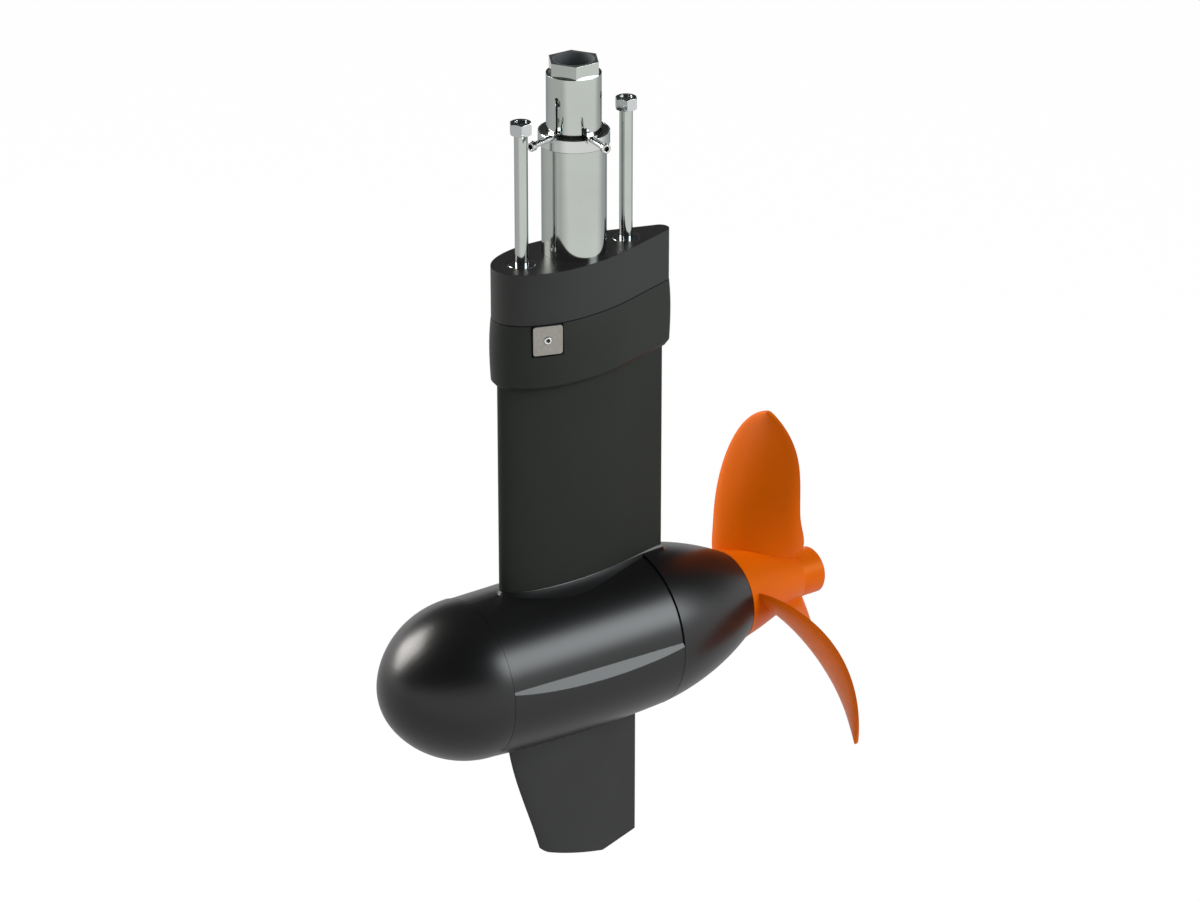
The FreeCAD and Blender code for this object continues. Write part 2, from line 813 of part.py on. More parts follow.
def make_seal_ring(name, front):
    """An O-ring, squeezed flat between its groove and the bore."""
    start, end, floor = ring_groove(front)
    return turned_on_pod_axis(name, ring_section(floor, spigot_radius, start + gap, end - gap))


def bowed(start, end, bow):
    """An arc from start to end, in the plane Y = 0, that bulges downwards and forwards by bow."""
    along = (end - start).normalize()
    return Part.Arc(start, (start + end) * 0.5 + Vector(-abs(along.z), 0, -abs(along.x)) * bow, end).toShape()


def make_skeg_fin():
    """A swept fin: foil sections from the pod to its foot, trimmed to its outline from the side."""
    front, rear = size("fin_front_x").value, size("fin_rear_x").value
    half = size("fin_half_thickness").value
    foot = -size("fin_foot_depth").value
    root = pod_drop.value - size("pod_front_radius").value
    inside = pod_drop.value - size("pod_front_radius").value * 0.7

    def leading_x(height):
        share = max((root - height) / (root - foot), 0)
        return front + size("fin_sweep").value * share * (0.8 + 0.2 * share)

    wires = []
    for height in (inside + half, root, root * 0.55 + foot * 0.45, foot - half):
        lead = leading_x(height)
        middle = lead + (rear - lead) * 0.34
        thick = half * (1 - 0.25 * (root - height) / (root - foot))
        wires.append(foil_wire(as_size(middle), as_size(middle - lead), as_size(thick), as_size(rear),
                               as_size(half * 0.2), height))
    blade = shape_feature("fin_blade", Part.makeLoft(wires, True, False))
    corner = Vector(size("fin_corner_x").value, 0, foot)
    rear_slope = Vector(rear - corner.x, 0, size("fin_rear_rise").value)
    heel = corner + rear_slope * 1.5
    toe_height = foot + size("fin_toe_rise").value * 2
    toe = Vector(leading_x(toe_height) - gap.value, 0, toe_height)
    toe_end = Vector(toe.x + size("fin_toe_length").value, 0, foot + size("fin_toe_rise").value)
    ahead = front - half
    spots = [toe, Vector(ahead, 0, toe_height), Vector(ahead, 0, inside), Vector(heel.x, 0, inside), heel,
             corner]
    edges = [Part.LineSegment(*pair).toShape() for pair in zip(spots, spots[1:])]
    edges += [bowed(corner, toe_end, size("fin_foot_bow").value), bowed(toe_end, toe, size("fin_toe_bow").value)]
    outline = shape_feature("fin_outline", Part.Face(Part.Wire(edges)))
    trim = doc.addObject("Part::Extrusion", "fin_trim")
    trim.Base = outline
    trim.DirMode = "Custom"
    trim.Dir = Vector(0, 1, 0)
    trim.Solid = True
    bind(trim, "LengthFwd", size("fin_half_thickness") * 2)
    bind(trim, "LengthRev", size("fin_half_thickness") * 2)
    trimmed = doc.addObject("Part::Common", "fin_trimmed")
    trimmed.Base = blade
    trimmed.Tool = trim
    return cut("skeg_fin", trimmed, [turned_on_pod_axis("fin_seat", belly_section(gap))])


# Through-hull tube, collar and mast

def make_outer_tube():
    low = band_top - size("tube_socket_depth") + gap
    inner = size("tube_radius") - size("tube_wall")
    return turned_upright("outer_tube", ring_section(inner, size("tube_radius"), low, size("tube_top"),
                                                     upright=True))


CLAMP_SCREWS = ("guide", "lock")


def screw_angle(label):
    return math.radians(size(label + "_screw_angle").value)


def radial_placement(angle, reach):
    """Places a piece whose local +Z points away from the tube axis at the clamp screws' height."""
    outwards = Vector(math.cos(angle), math.sin(angle), 0)
    height = size("collar_top") - size("lug_sink") + size("lug_height") / 2
    return Placement(outwards * reach + UP * height.value, Rotation(UP, outwards))


def lug_box(name, label, grow=0):
    """A block on the collar's top for one clamp screw, or with grow the space that it needs."""
    angle = screw_angle(label)
    lug = doc.addObject("Part::Box", name)
    bind(lug, "Length", size("lug_outer_radius") - size("lug_inner_radius") + grow)
    bind(lug, "Width", size("lug_width") + grow * 2)
    bind(lug, "Height", size("lug_height") + grow)
    reach = (size("lug_inner_radius") - grow).value
    half = (size("lug_width") / 2 + grow).value
    foot = size("collar_top") - size("lug_sink") - grow
    corner = Vector(reach * math.cos(angle) + half * math.sin(angle),
                    reach * math.sin(angle) - half * math.cos(angle), foot.value)
    lug.Placement = Placement(corner, Rotation(UP, math.degrees(angle)))
    return lug


def clamp_screw_hole(name, label):
    hole = doc.addObject("Part::Cylinder", name)
    bind(hole, "Radius", size("clamp_screw_radius") + gap)
    bind(hole, "Height", size("lug_outer_radius"))
    hole.Placement = radial_placement(screw_angle(label), size("mast_radius").value)
    return hole


def make_clamp_collar():
    outer = size("collar_radius")
    inner = outer - size("collar_wall")
    seat = size("tube_radius") + gap
    foot = size("collar_top") - size("collar_height")
    step = size("tube_top") + gap
    chamfer = size("collar_wall") / 3
    ring = turned_upright("collar_ring", [
        (seat, foot), (outer - chamfer, foot), (outer, foot + chamfer),
        (outer, size("collar_top") - chamfer), (outer - chamfer, size("collar_top")),
        (inner, size("collar_top")), (inner, step), (seat, step)])
    lugs = [lug_box(label + "_lug", label) for label in CLAMP_SCREWS]
    holes = [clamp_screw_hole(label + "_lug_hole", label) for label in CLAMP_SCREWS]
    return cut("clamp_collar", fuse("collar_blank", [ring] + lugs), holes)


def make_tube_bush():
    """The black bush between tube and mast, cut away round the collar's lugs and screws."""
    inner = size("mast_radius") + gap
    tube_bore = size("tube_radius") - size("tube_wall") - gap
    cup = size("collar_radius") - size("collar_wall") - gap
    top = size("collar_top") - seam
    foot = size("tube_top") - size("bush_length")
    sleeve = turned_upright("bush_sleeve", [
        (inner, foot), (tube_bore, foot), (tube_bore, size("tube_top") + gap),
        (cup, size("tube_top") + gap), (cup, top), (inner, top)])
    tools = []
    for label in CLAMP_SCREWS:
        tools.append(lug_box(label + "_lug_space", label, seam))
        tools.append(clamp_screw_hole(label + "_bush_notch", label))
    return cut("tube_bush", sleeve, tools)


def make_inner_tube():
    """The mast: a tube with three keyhole slots, one of which is turned to the guide screw."""
    outer = size("mast_radius")
    inner = outer - size("mast_wall")
    tube = turned_upright("inner_tube", ring_section(inner, outer, size("mast_foot"), size("mast_top"),
                                                     upright=True))
    half = size("mast_slot_width") / 2
    slot = sketch_on(tube, "XZ_Plane", "slot_outline")
    draw(slot, [(half, size("mast_slot_foot")), (half, size("mast_slot_top")),
                (-half, size("mast_slot_top")), (-half, size("mast_slot_foot"))])
    slot_cut = cut_from(tube, "slot_cut", slot, outer + 1)
    eye = sketch_on(tube, "XZ_Plane", "keyhole_outline")
    draw_circle(eye, 0, size("mast_slot_top"), size("keyhole_radius"))
    eye_cut = cut_from(tube, "keyhole_cut", eye, outer + 1)
    repeat_round(tube, "slots_round_tube", [slot_cut, eye_cut], "Z_Axis", 3)
    tube.Placement = Placement(Vector(0, 0, 0), Rotation(UP, size("guide_screw_angle").value - 90))
    return tube


def make_gland_nut():
    body = doc.addObject("PartDesign::Body", "gland_nut")
    outline = sketch_on(body, "XY_Plane", "gland_hexagon")
    corners = []
    for number in range(6):
        angle = math.radians(60 * number)
        corners.append((size("gland_radius") * math.cos(angle), size("gland_radius") * math.sin(angle)))
    draw(outline, corners)
    bind(outline, "AttachmentOffset.Base.z", size("mast_top"))
    pad = body.newObject("PartDesign::Pad", "gland_flats")
    pad.Profile = outline
    bind(pad, "Length", size("gland_height"))
    spigot = sketch_on(body, "XY_Plane", "gland_spigot_outline")
    draw_circle(spigot, 0, 0, size("mast_radius") - size("mast_wall") - gap)
    bind(spigot, "AttachmentOffset.Base.z", size("mast_top") - size("gland_spigot"))
    spigot_pad = body.newObject("PartDesign::Pad", "gland_spigot_pad")
    spigot_pad.Profile = spigot
    bind(spigot_pad, "Length", size("gland_spigot"))
    bore = sketch_on(body, "XY_Plane", "gland_bore_outline")
    draw_circle(bore, 0, 0, size("gland_bore"))
    bind(bore, "AttachmentOffset.Base.z", size("mast_top") - size("gland_spigot") - 1)
    cut_from(body, "gland_bore_cut", bore, size("gland_spigot") + size("gland_height") + 2, backwards=True)
    return body


def screw_profile(reach_in, radius, head_radius, head_length, end):
    """Half section of a socket head screw whose axis is local Z and whose tip is at reach_in."""
    bevel = radius * 0.25
    socket = head_radius * 0.48
    depth = head_length * 0.55
    return [
        (as_size(0), reach_in), (radius - bevel, reach_in), (radius, reach_in + bevel),
        (radius, end - head_length), (head_radius, end - head_length), (head_radius, end - bevel),
        (head_radius - bevel, end), (socket, end), (socket, end - depth), (as_size(0), end - depth)]


def make_clamp_screws():
    """The guide screw, whose plain tip runs in a slot of the mast, and the lock screw."""
    radius = size("clamp_screw_radius")
    head = size("clamp_screw_head_radius")
    head_length = size("clamp_screw_head_length")
    reach = size("clamp_screw_reach")
    shoulder = size("mast_radius") + seam
    tip = size("mast_radius") - size("mast_wall")
    pin = (size("mast_slot_width") - seam) / 2
    profile = screw_profile(shoulder, radius, head, head_length, reach)
    guide = turned_upright("guide_screw", [(as_size(0), tip), (pin, tip), (pin, shoulder)] + profile[1:])
    lock = turned_upright("lock_screw", profile)
    guide.Placement = radial_placement(screw_angle("guide"), 0)
    lock.Placement = radial_placement(screw_angle("lock"), 0)
    return group("clamp_screws", [guide, lock])


# Hull studs

def make_mounting_studs():
    """Two studs: plain where they pass through the hull, and down to the thread's core at both ends."""
    studs = []
    core, full = size("stud_core_radius"), size("stud_radius")
    bevel = full / 6
    foot = band_top - size("stud_grip") + gap
    plain_foot = -size("washer_sink")
    plain_top = size("nut_top") - size("nut_height") - seam
    top = size("stud_top")
    for side in (-1, 1):
        stud = turned_upright("stud_%d" % (side + 2), [
            (as_size(0), foot), (core - bevel, foot), (core, foot + bevel), (core, plain_foot),
            (full, plain_foot), (full, plain_top), (core, plain_top), (core, top - bevel),
            (core - bevel, top), (as_size(0), top)])
        bind(stud, "Placement.Base.x", stud_x(side))
        studs.append(stud)
    return group("mounting_studs", studs)


def hex_nut(name, across_flats, height, bore):
    """A hex nut with its corners bevelled at both ends, standing on its own origin."""
    prism = doc.addObject("Part::Prism", name + "_prism")
    prism.Polygon = 6
    bind(prism, "Circumradius", across_flats / math.sqrt(3))
    bind(prism, "Height", height)
    radius = across_flats / math.sqrt(3)
    bevel = (radius * 2 - across_flats) / 2
    lift = bevel * math.tan(math.radians(30))
    barrel = turned_upright(name + "_bevels", [
        (bore, as_size(0)), (radius - bevel, as_size(0)), (radius, lift), (radius, height - lift),
        (radius - bevel, height), (bore, height)])
    nut = doc.addObject("Part::Common", name)
    nut.Base = prism
    nut.Tool = barrel
    return nut


def make_stud_nuts():
    nuts = []
    for side in (-1, 1):
        nut = hex_nut("stud_nut_%d" % (side + 2), size("nut_across_flats"), size("nut_height"),
                      stud_hole)
        bind(nut, "Placement.Base.x", stud_x(side))
        bind(nut, "Placement.Base.z", size("nut_top") - size("nut_height"))
        nuts.append(nut)
    return group("stud_nuts", nuts)


def make_stud_washers():
    """Two washers let into the head's face, so that the face can bear on the hull."""
    washers = []
    outer, thick = size("washer_radius"), size("washer_thickness")
    bevel = thick / 4
    for side in (-1, 1):
        washer = turned_upright("stud_washer_%d" % (side + 2), [
            (stud_hole, as_size(0)), (outer, as_size(0)), (outer, thick - bevel),
            (outer - bevel, thick), (stud_hole, thick)])
        bind(washer, "Placement.Base.x", stud_x(side))
        bind(washer, "Placement.Base.z", -(size("washer_sink") + thick))
        washers.append(washer)
    return group("stud_washers", washers)


# Anode

def make_anode_plate():
    plate = square_plate("anode_blank", size("anode_width"), size("anode_thickness"), size("anode_corner"))
    plate.Placement = anode_placement(size("anode_thickness").value)
    hole = doc.addObject("Part::Cylinder", "anode_plate_hole")
    bind(hole, "Radius", size("anode_screw_radius") + gap)
    bind(hole, "Height", size("anode_thickness") * 2)
    hole.Placement = anode_placement(size("anode_thickness").value * 1.5)
    sink = doc.addObject("Part::Cylinder", "anode_plate_sink")
    bind(sink, "Radius", size("anode_head_radius") + seam)
    bind(sink, "Height", size("anode_thickness"))
    sink.Placement = anode_placement(size("anode_thickness").value * 0.4)
    return cut("anode_plate", plate, [hole, sink])


def make_anode_screw():
    radius = size("anode_screw_radius")
    thick = size("anode_thickness")
    head = thick * 0.6
    profile = screw_profile(-(thick * 1.2), radius, size("anode_head_radius"), head, thick * 0.2)
    screw = turned_upright("anode_screw", profile)
    screw.Placement = anode_placement(0)
    return screw


# Motor

def make_front_end_shield():
    start = size("shield_x")
    end = start + size("shield_thickness")
    front = front_bearing_x - gap
    seat = size("bearing_outer") + gap
    wall = size("shell_wall")
    shoulder = shaft_shoulder_x + gap
    rim = size("ledge_ring_radius") - 4
    rim_end = ledge_front_x
    disc = turned_on_pod_axis("shield_disc", [
        (front, seat), (shoulder, seat), (shoulder, seat - wall), (end, seat - wall), (end, rim),
        (rim_end, rim), (rim_end, spigot_radius), (start, spigot_radius), (start, seat + wall),
        (front, seat + wall)])
    holes = []
    for number in range(4):
        hole = cylinder("shield_hole_%d" % number, size("screw_radius") + gap, start - 1,
                        size("shield_thickness") * 2, along_x=True)
        place_round(hole, number, start - 1)
        holes.append(hole)
    return cut("front_end_shield", disc, holes)


def make_shield_screws():
    screws = []
    start = size("shield_x")
    for number in range(4):
        angle = math.radians(45 + 90 * number)
        profile = screw_profile(-(size("shield_thickness") + size("ledge_ring_width") * 0.6),
                                size("screw_radius"), size("screw_head_radius"), size("screw_head_length"),
                                size("screw_head_length"))
        screw = turned_upright("shield_screw_%d" % number, profile)
        screw.Placement = Placement(Vector(0, 0, 0), Rotation(UP, -AFT))
        bind(screw, "Placement.Base.x", start)
        bind(screw, "Placement.Base.y", size("shield_screw_circle") * math.cos(angle))
        bind(screw, "Placement.Base.z", pod_drop + size("shield_screw_circle") * math.sin(angle))
        screws.append(screw)
    return group("shield_screws", screws)


def make_stator_core():
    outer = size("pod_bore") - gap
    inner = size("stator_bore")
    start = size("stator_front_x")
    body = turned_on_pod_axis("stator_core", ring_section(inner, outer, start, stator_rear_x))
    slot = sketch_on(body, "YZ_Plane", "stator_slot_outline")
    mouth = size("slot_mouth") / 2
    deep = outer - size("shell_wall")
    wide = inner * 0.075
    shoulder = inner + mouth
    draw(slot, [(-mouth, inner - 1), (mouth, inner - 1), (mouth, shoulder), (wide, shoulder + mouth),
                (wide * 1.3, deep), (-(wide * 1.3), deep), (-wide, shoulder + mouth), (-mouth, shoulder)])
    pocket = cut_from(body, "stator_slot_cut", slot, size("stator_length") * 4, both_ways=True)
    repeat_round(body, "stator_slots_round", [pocket], "X_Axis", size("stator_slots"))
    return body


def make_stator_windings():
    inner = size("stator_bore") + 4
    outer = size("pod_bore") - 2
    length = size("winding_length")
    bevel = length / 4
    ends = []
    spans = (("front_winding", size("stator_front_x") - length, size("stator_front_x") - gap),
             ("rear_winding", stator_rear_x + gap, stator_rear_x + length))
    for name, start, end in spans:
        ends.append(turned_on_pod_axis(name, [
            (start, inner + bevel), (start + bevel, inner), (end - bevel, inner), (end, inner + bevel),
            (end, outer - bevel), (end - bevel, outer), (start + bevel, outer), (start, outer - bevel)]))
    return group("stator_windings", ends)


def make_rotor_core():
    radius = size("stator_bore") - size("air_gap") - size("magnet_thickness")
    bore = size("rotor_seat_radius") + gap
    return turned_on_pod_axis("rotor_core", ring_section(bore, radius, size("stator_front_x") + 1,
                                                         stator_rear_x - 1))


def make_rotor_magnets():
    inner = (size("stator_bore") - size("air_gap") - size("magnet_thickness") + gap).value
    outer = (size("stator_bore") - size("air_gap")).value
    start = size("stator_front_x").value + 3
    length = size("stator_length").value - 6
    count = int(size("magnet_count").value)
    span = 0.84 * 2 * math.pi / count
    magnets = []
    for number in range(count):
        middle = 2 * math.pi * number / count
        spots = []
        for radius, angles in ((inner, (-0.5, 0, 0.5)), (outer, (0.5, 0, -0.5))):
            for share in angles:
                angle = middle + share * span
                spots.append(Vector(start, radius * math.cos(angle), radius * math.sin(angle)))
        edges = [Part.Arc(*spots[:3]).toShape(), Part.LineSegment(spots[2], spots[3]).toShape(),
                 Part.Arc(*spots[3:]).toShape(), Part.LineSegment(spots[5], spots[0]).toShape()]
        magnets.append(Part.Face(Part.Wire(edges)).extrude(AFT * length))
    tiles = shape_feature("rotor_magnets", Part.makeCompound(magnets))
    bind(tiles, "Placement.Base.z", pod_drop)
    return tiles


def make_motor_shaft():
    journal = size("shaft_radius") - gap
    seat = size("rotor_seat_radius")
    thread_start = size("boss_end_x") - size("lock_nut_height") - 4
    rear_shoulder = size("rear_bearing_x")
    bevel = size("shaft_radius") / 10
    blank = turned_on_pod_axis("shaft_blank", [
        (front_bearing_x - 1, as_size(0)), (front_bearing_x - 1, journal - bevel),
        (front_bearing_x - 1 + bevel, journal), (shaft_shoulder_x, journal), (shaft_shoulder_x, seat),
        (rear_shoulder, seat), (rear_shoulder, journal), (size("tail_end_x"), journal),
        (size("tail_end_x"), size("propeller_seat_radius") - gap),
        (thread_start - 2, size("propeller_seat_radius") - gap), (thread_start - 2, size("thread_radius")),
        (size("boss_end_x") - 3, size("thread_radius")), (size("boss_end_x") - 2, size("thread_radius") - 1),
        (size("boss_end_x") - 2, as_size(0))])
    return cut("motor_shaft", blank, [pin_rod("shaft_pin_hole", size("drive_pin_radius") + gap, as_size(30))])


def pin_rod(name, radius, half_length):
    """A rod across the shaft at the drive pin's place."""
    rod = doc.addObject("Part::Cylinder", name)
    bind(rod, "Radius", radius)
    bind(rod, "Height", half_length * 2)
    rod.Placement = Placement(Vector(0, 0, 0), Rotation(Vector(1, 0, 0), 90))
    bind(rod, "Placement.Base.x", size("drive_pin_x"))
    bind(rod, "Placement.Base.y", half_length)
    bind(rod, "Placement.Base.z", pod_drop)
    return rod


def make_bearing(prefix, start):
    """A deep-groove ball bearing: two races, nine balls and the cage that spaces them."""
    middle = start + size("bearing_width") / 2
    land = size("ball_radius") * 0.55
    track = size("ball_radius") + gap
    inner_land = bearing_pitch - land
    outer_land = bearing_pitch + land
    races = []
    spans = (("inner", size("shaft_radius"), inner_land), ("outer", outer_land, size("bearing_outer")))
    for label, low, high in spans:
        ring = turned_on_pod_axis("%s_%s_ring" % (prefix, label),
                                  ring_section(low, high, start, start + size("bearing_width")))
        groove = doc.addObject("Part::Torus", "%s_%s_groove" % (prefix, label))
        bind(groove, "Radius1", bearing_pitch)
        bind(groove, "Radius2", track)
        groove.Placement = Placement(Vector(0, 0, 0), Rotation(Vector(0, 1, 0), 90))
        bind(groove, "Placement.Base.x", middle)
        bind(groove, "Placement.Base.z", pod_drop)
        races.append(cut("%s_bearing_%s" % (prefix, label), ring, [groove]))
    balls = []
    count = int(size("ball_count").value)
    for number in range(count):
        angle = 2 * math.pi * number / count
        ball = doc.addObject("Part::Sphere", "%s_ball_%d" % (prefix, number))
        bind(ball, "Radius", size("ball_radius"))
        bind(ball, "Placement.Base.x", middle)
        bind(ball, "Placement.Base.y", bearing_pitch * math.sin(angle))
        bind(ball, "Placement.Base.z", pod_drop + bearing_pitch * math.cos(angle))
        balls.append(ball)
    half_wide = size("ball_radius") * 1.35
    half_thick = land * 0.5
    cage = turned_on_pod_axis("%s_bearing_cage" % prefix, ring_section(
        bearing_pitch - half_thick, bearing_pitch + half_thick, middle - half_wide, middle + half_wide))
    pocket = sketch_on(cage, "XY_Plane", "%s_ball_pocket" % prefix)
    draw_circle(pocket, middle, 0, track)
    hole = cut_from(cage, "%s_pocket_cut" % prefix, pocket, size("bearing_outer"), backwards=True)
    repeat_round(cage, "%s_pockets_round" % prefix, [hole], "X_Axis", size("ball_count"))
    return races + [group("%s_bearing_balls" % prefix, balls), cage]


def make_shaft_seal():
    inner = size("shaft_radius")
    outer = size("seal_radius")
    start = size("seal_x") + gap
    end = start + size("seal_length") - gap
    lip = (end - start) / 4
    hollow = inner + (outer - inner) / 2
    return turned_on_pod_axis("shaft_seal", [
        (start, hollow), (start + lip * 2, hollow), (start + lip * 2, inner), (end, inner), (end, outer),
        (start, outer)])


def make_control_board():
    back = size("shield_x") - size("standoff_length")
    thick = size("board_thickness")
    board = turned_on_pod_axis("board_disc", ring_section(size("bearing_outer") * 0.4, size("board_radius"),
                                                          back - thick, back))
    pieces = [board]
    # Each chip's middle, width and height as shares of the board's radius
    chips = ((0.52, 0.2, 0.24, 0.3), (-0.58, 0.16, 0.28, 0.2), (0.14, 0.62, 0.34, 0.18),
             (-0.2, -0.64, 0.4, 0.2))
    for number, shares in enumerate(chips):
        across, up, wide, tall = [size("board_radius") * share for share in shares]
        chip = doc.addObject("Part::Box", "board_part_%d" % number)
        bind(chip, "Length", thick * 3)
        bind(chip, "Width", wide)
        bind(chip, "Height", tall)
        bind(chip, "Placement.Base.x", back - thick * 4)
        bind(chip, "Placement.Base.y", across - wide / 2)
        bind(chip, "Placement.Base.z", pod_drop + up - tall / 2)
        pieces.append(chip)
    return fuse("control_board", pieces)


def make_board_standoffs():
    posts = []
    circle = size("board_radius") * 0.84
    for number in range(4):
        angle = math.radians(90 * number)
        post = cylinder("standoff_%d" % number, size("screw_radius") * 1.5,
                        size("shield_x") - size("standoff_length"), size("standoff_length"), along_x=True)
        bind(post, "Placement.Base.y", circle * math.cos(angle))
        bind(post, "Placement.Base.z", pod_drop + circle * math.sin(angle))
        posts.append(post)
    return group("board_standoffs", posts)


# Propeller

def blade_chord(radius):
    """Chord at a radius: narrowed inside the hub, full to mid blade, then rounding in to the tip."""
    widest = size("blade_widest_radius").value
    share = max(0.0, (radius - widest) / (size("propeller_radius").value - widest))
    in_hub = min(1, 0.7 + 0.3 * radius / size("blade_root_radius").value)
    return size("blade_chord").value * in_hub * max(0.01, 1 - share ** 2.48) ** 0.75


def blade_section(radius, flat):
    """A cambered section at the screw's pitch angle, wrapped on a cylinder of the given radius.

    The blade is skewed back towards its tip, and its back, which bulges, looks forward.
    The loft's two end sections stay flat, so that they can close the blade.
    """
    reach = size("propeller_radius").value
    root = size("blade_root_radius").value
    out = max(0.0, (radius - root) / (reach - root))
    chord = blade_chord(radius)
    tip_pitch, root_pitch = size("tip_pitch").value, size("root_pitch").value
    pitch = root_pitch + (tip_pitch - root_pitch) * (radius / reach) ** 2
    pitch_angle = math.atan(pitch / (2 * math.pi * radius))
    root_thick, tip_thick = size("blade_root_thickness").value, size("blade_tip_thickness").value
    thick = root_thick + (tip_thick - root_thick) * out
    camber = size("blade_camber").value * (0.3 + 0.7 * chord / size("blade_chord").value)
    root_x, tip_x = size("blade_root_x").value, size("blade_tip_x").value
    middle_x = root_x + (tip_x - root_x) * out
    middle_x += size("blade_bow").value * math.sin(math.pi * out ** 1.6)
    skew = math.radians(size("blade_skew").value) * out ** 1.4
    spots = []
    count = 14
    for number in range(count):
        angle = 2 * math.pi * number / count
        along = 0.5 * chord * math.cos(angle)
        rise = 0.5 * thick * math.sin(angle) - camber * math.sin(angle) ** 2
        aft = middle_x + along * math.sin(pitch_angle) + rise * math.cos(pitch_angle)
        round_way = along * math.cos(pitch_angle) - rise * math.sin(pitch_angle)
        if flat:
            spot = Vector(aft, -round_way, radius)
        else:
            spot = Vector(aft, -radius * math.sin(round_way / radius),
                          radius * math.cos(round_way / radius))
        spots.append(Rotation(AFT, math.degrees(skew)).multVec(spot))
    back = Part.BSplineCurve()
    back.interpolate(spots[:count // 2 + 1])
    face = Part.BSplineCurve()
    face.interpolate(spots[count // 2:] + spots[:1])
    return Part.Wire([back.toShape(), face.toShape()])


def make_propeller():
    reach = size("propeller_radius").value
    inside = size("boss_radius").value * 0.75
    shares = (0.16, 0.23, 0.34, 0.47, 0.6, 0.72, 0.83, 0.91, 0.96, 0.985, 0.998)
    radii = [inside] + [reach * share for share in shares]
    ends = (radii[0], radii[-1])
    blade = Part.makeLoft([blade_section(radius, radius in ends) for radius in radii], True, False)
    blades = []
    count = int(size("blade_count").value)
    for number in range(count):
        turn = size("blade_start_angle").value + 360.0 * number / count
        copy = shape_feature("blade_%d" % number, blade)
        copy.Placement = Placement(Vector(0, 0, 0), Rotation(AFT, turn))
        bind(copy, "Placement.Base.z", pod_drop)
        blades.append(copy)
    front = hub_front_x
    flare_x, flare = size("hub_flare_x"), size("hub_flare_radius")
    end = size("boss_end_x")
    boss = size("boss_radius")
    round_off = boss / 10
    bore = size("propeller_seat_radius")
    recess = size("thrust_washer_radius") + gap
    recess_end = front + size("thrust_washer_thickness")
    hub = turned_on_pod_axis("propeller_hub", [
        (front, as_size(0)), (front, size("tail_end_radius")), (flare_x, flare),
        (size("boss_start_x"), boss), (end - round_off, boss), (end, boss - round_off),
        (end, as_size(0))])
    blank = fuse("propeller_blank", [hub] + blades)
    nut_seat = size("boss_end_x") - size("lock_nut_height") - 2
    tools = [
        cylinder("propeller_bore", bore, front - 1, end - front + 2, along_x=True),
        cylinder("washer_recess", recess, front - 1, recess_end - front + 1, along_x=True),
        cylinder("nut_recess", size("nut_recess_radius"), nut_seat, end - nut_seat + 1, along_x=True),
        pin_rod("hub_pin_hole", size("drive_pin_radius") + gap, drive_pin_half()),
    ]
    return cut("propeller", blank, tools)


def drive_pin_half():
    return size("propeller_seat_radius") * 1.7


def make_drive_pin():
    return pin_rod("drive_pin", size("drive_pin_radius"), drive_pin_half() - gap)


def make_thrust_washer():
    return turned_on_pod_axis("thrust_washer", ring_section(
        size("propeller_seat_radius") + gap, size("thrust_washer_radius"), hub_front_x,
        hub_front_x + size("thrust_washer_thickness") - gap))


def make_propeller_nut():
    nut = hex_nut("propeller_nut", size("lock_nut_across_flats"), size("lock_nut_height"),
                  size("thread_radius") + gap)
    nut.Placement = Placement(Vector(0, 0, 0), Rotation(Vector(0, 1, 0), 90))
    bind(nut, "Placement.Base.x", size("boss_end_x") - size("lock_nut_height") - 2 + gap)
    bind(nut, "Placement.Base.z", pod_drop)
    return nut


# Build, check and write

saddle = make_saddle()
rear_block = make_rear_block()
nodes = [
    make_strut_head(),
    make_strut_band(),
    make_strut_leg(),
    make_leg_gasket(),
    make_leg_tie_rods(),
    make_pod_housing(saddle, rear_block),
    make_nose_cone(),
    make_seal_ring("nose_seal_ring", size("pod_front_x")),
    make_tail_housing(saddle, rear_block),
    make_seal_ring("tail_seal_ring", size("pod_rear_x") - size("spigot_length")),
    make_skeg_fin(),
    make_outer_tube(),
    make_clamp_collar(),
    make_tube_bush(),
    make_inner_tube(),
    make_gland_nut(),
    make_clamp_screws(),
    make_mounting_studs(),
    make_stud_nuts(),
    make_stud_washers(),
    make_anode_plate(),
    make_anode_screw(),
    make_front_end_shield(),
    make_shield_screws(),
    make_stator_core(),
    make_stator_windings(),
    make_rotor_core(),
    make_rotor_magnets(),
    make_motor_shaft(),
    make_shaft_seal(),
    make_control_board(),
    make_board_standoffs(),
    make_propeller(),
    make_drive_pin(),
    make_thrust_washer(),
    make_propeller_nut(),
]
nodes += make_bearing("front", front_bearing_x)
nodes += make_bearing("rear", size("rear_bearing_x"))

doc.recompute()
for item in doc.Objects:
    for fault in ("Invalid", "Error"):
        if fault in item.State:
            raise RuntimeError("%s is %s" % (item.Name, fault))
for node in nodes:
    if node.Shape.isNull() or not node.Shape.isValid():
        raise RuntimeError("%s has no valid shape" % node.Name)
for node in nodes:
    node.Label = node.Name
    node.Shape.exportStep("parts/%s.step" % node.Label)
    print("%-24s %2d solids %12.1f mm3" % (node.Label, len(node.Shape.Solids), node.Shape.Volume))
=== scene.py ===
import math

import bpy
from mathutils import Matrix, Vector


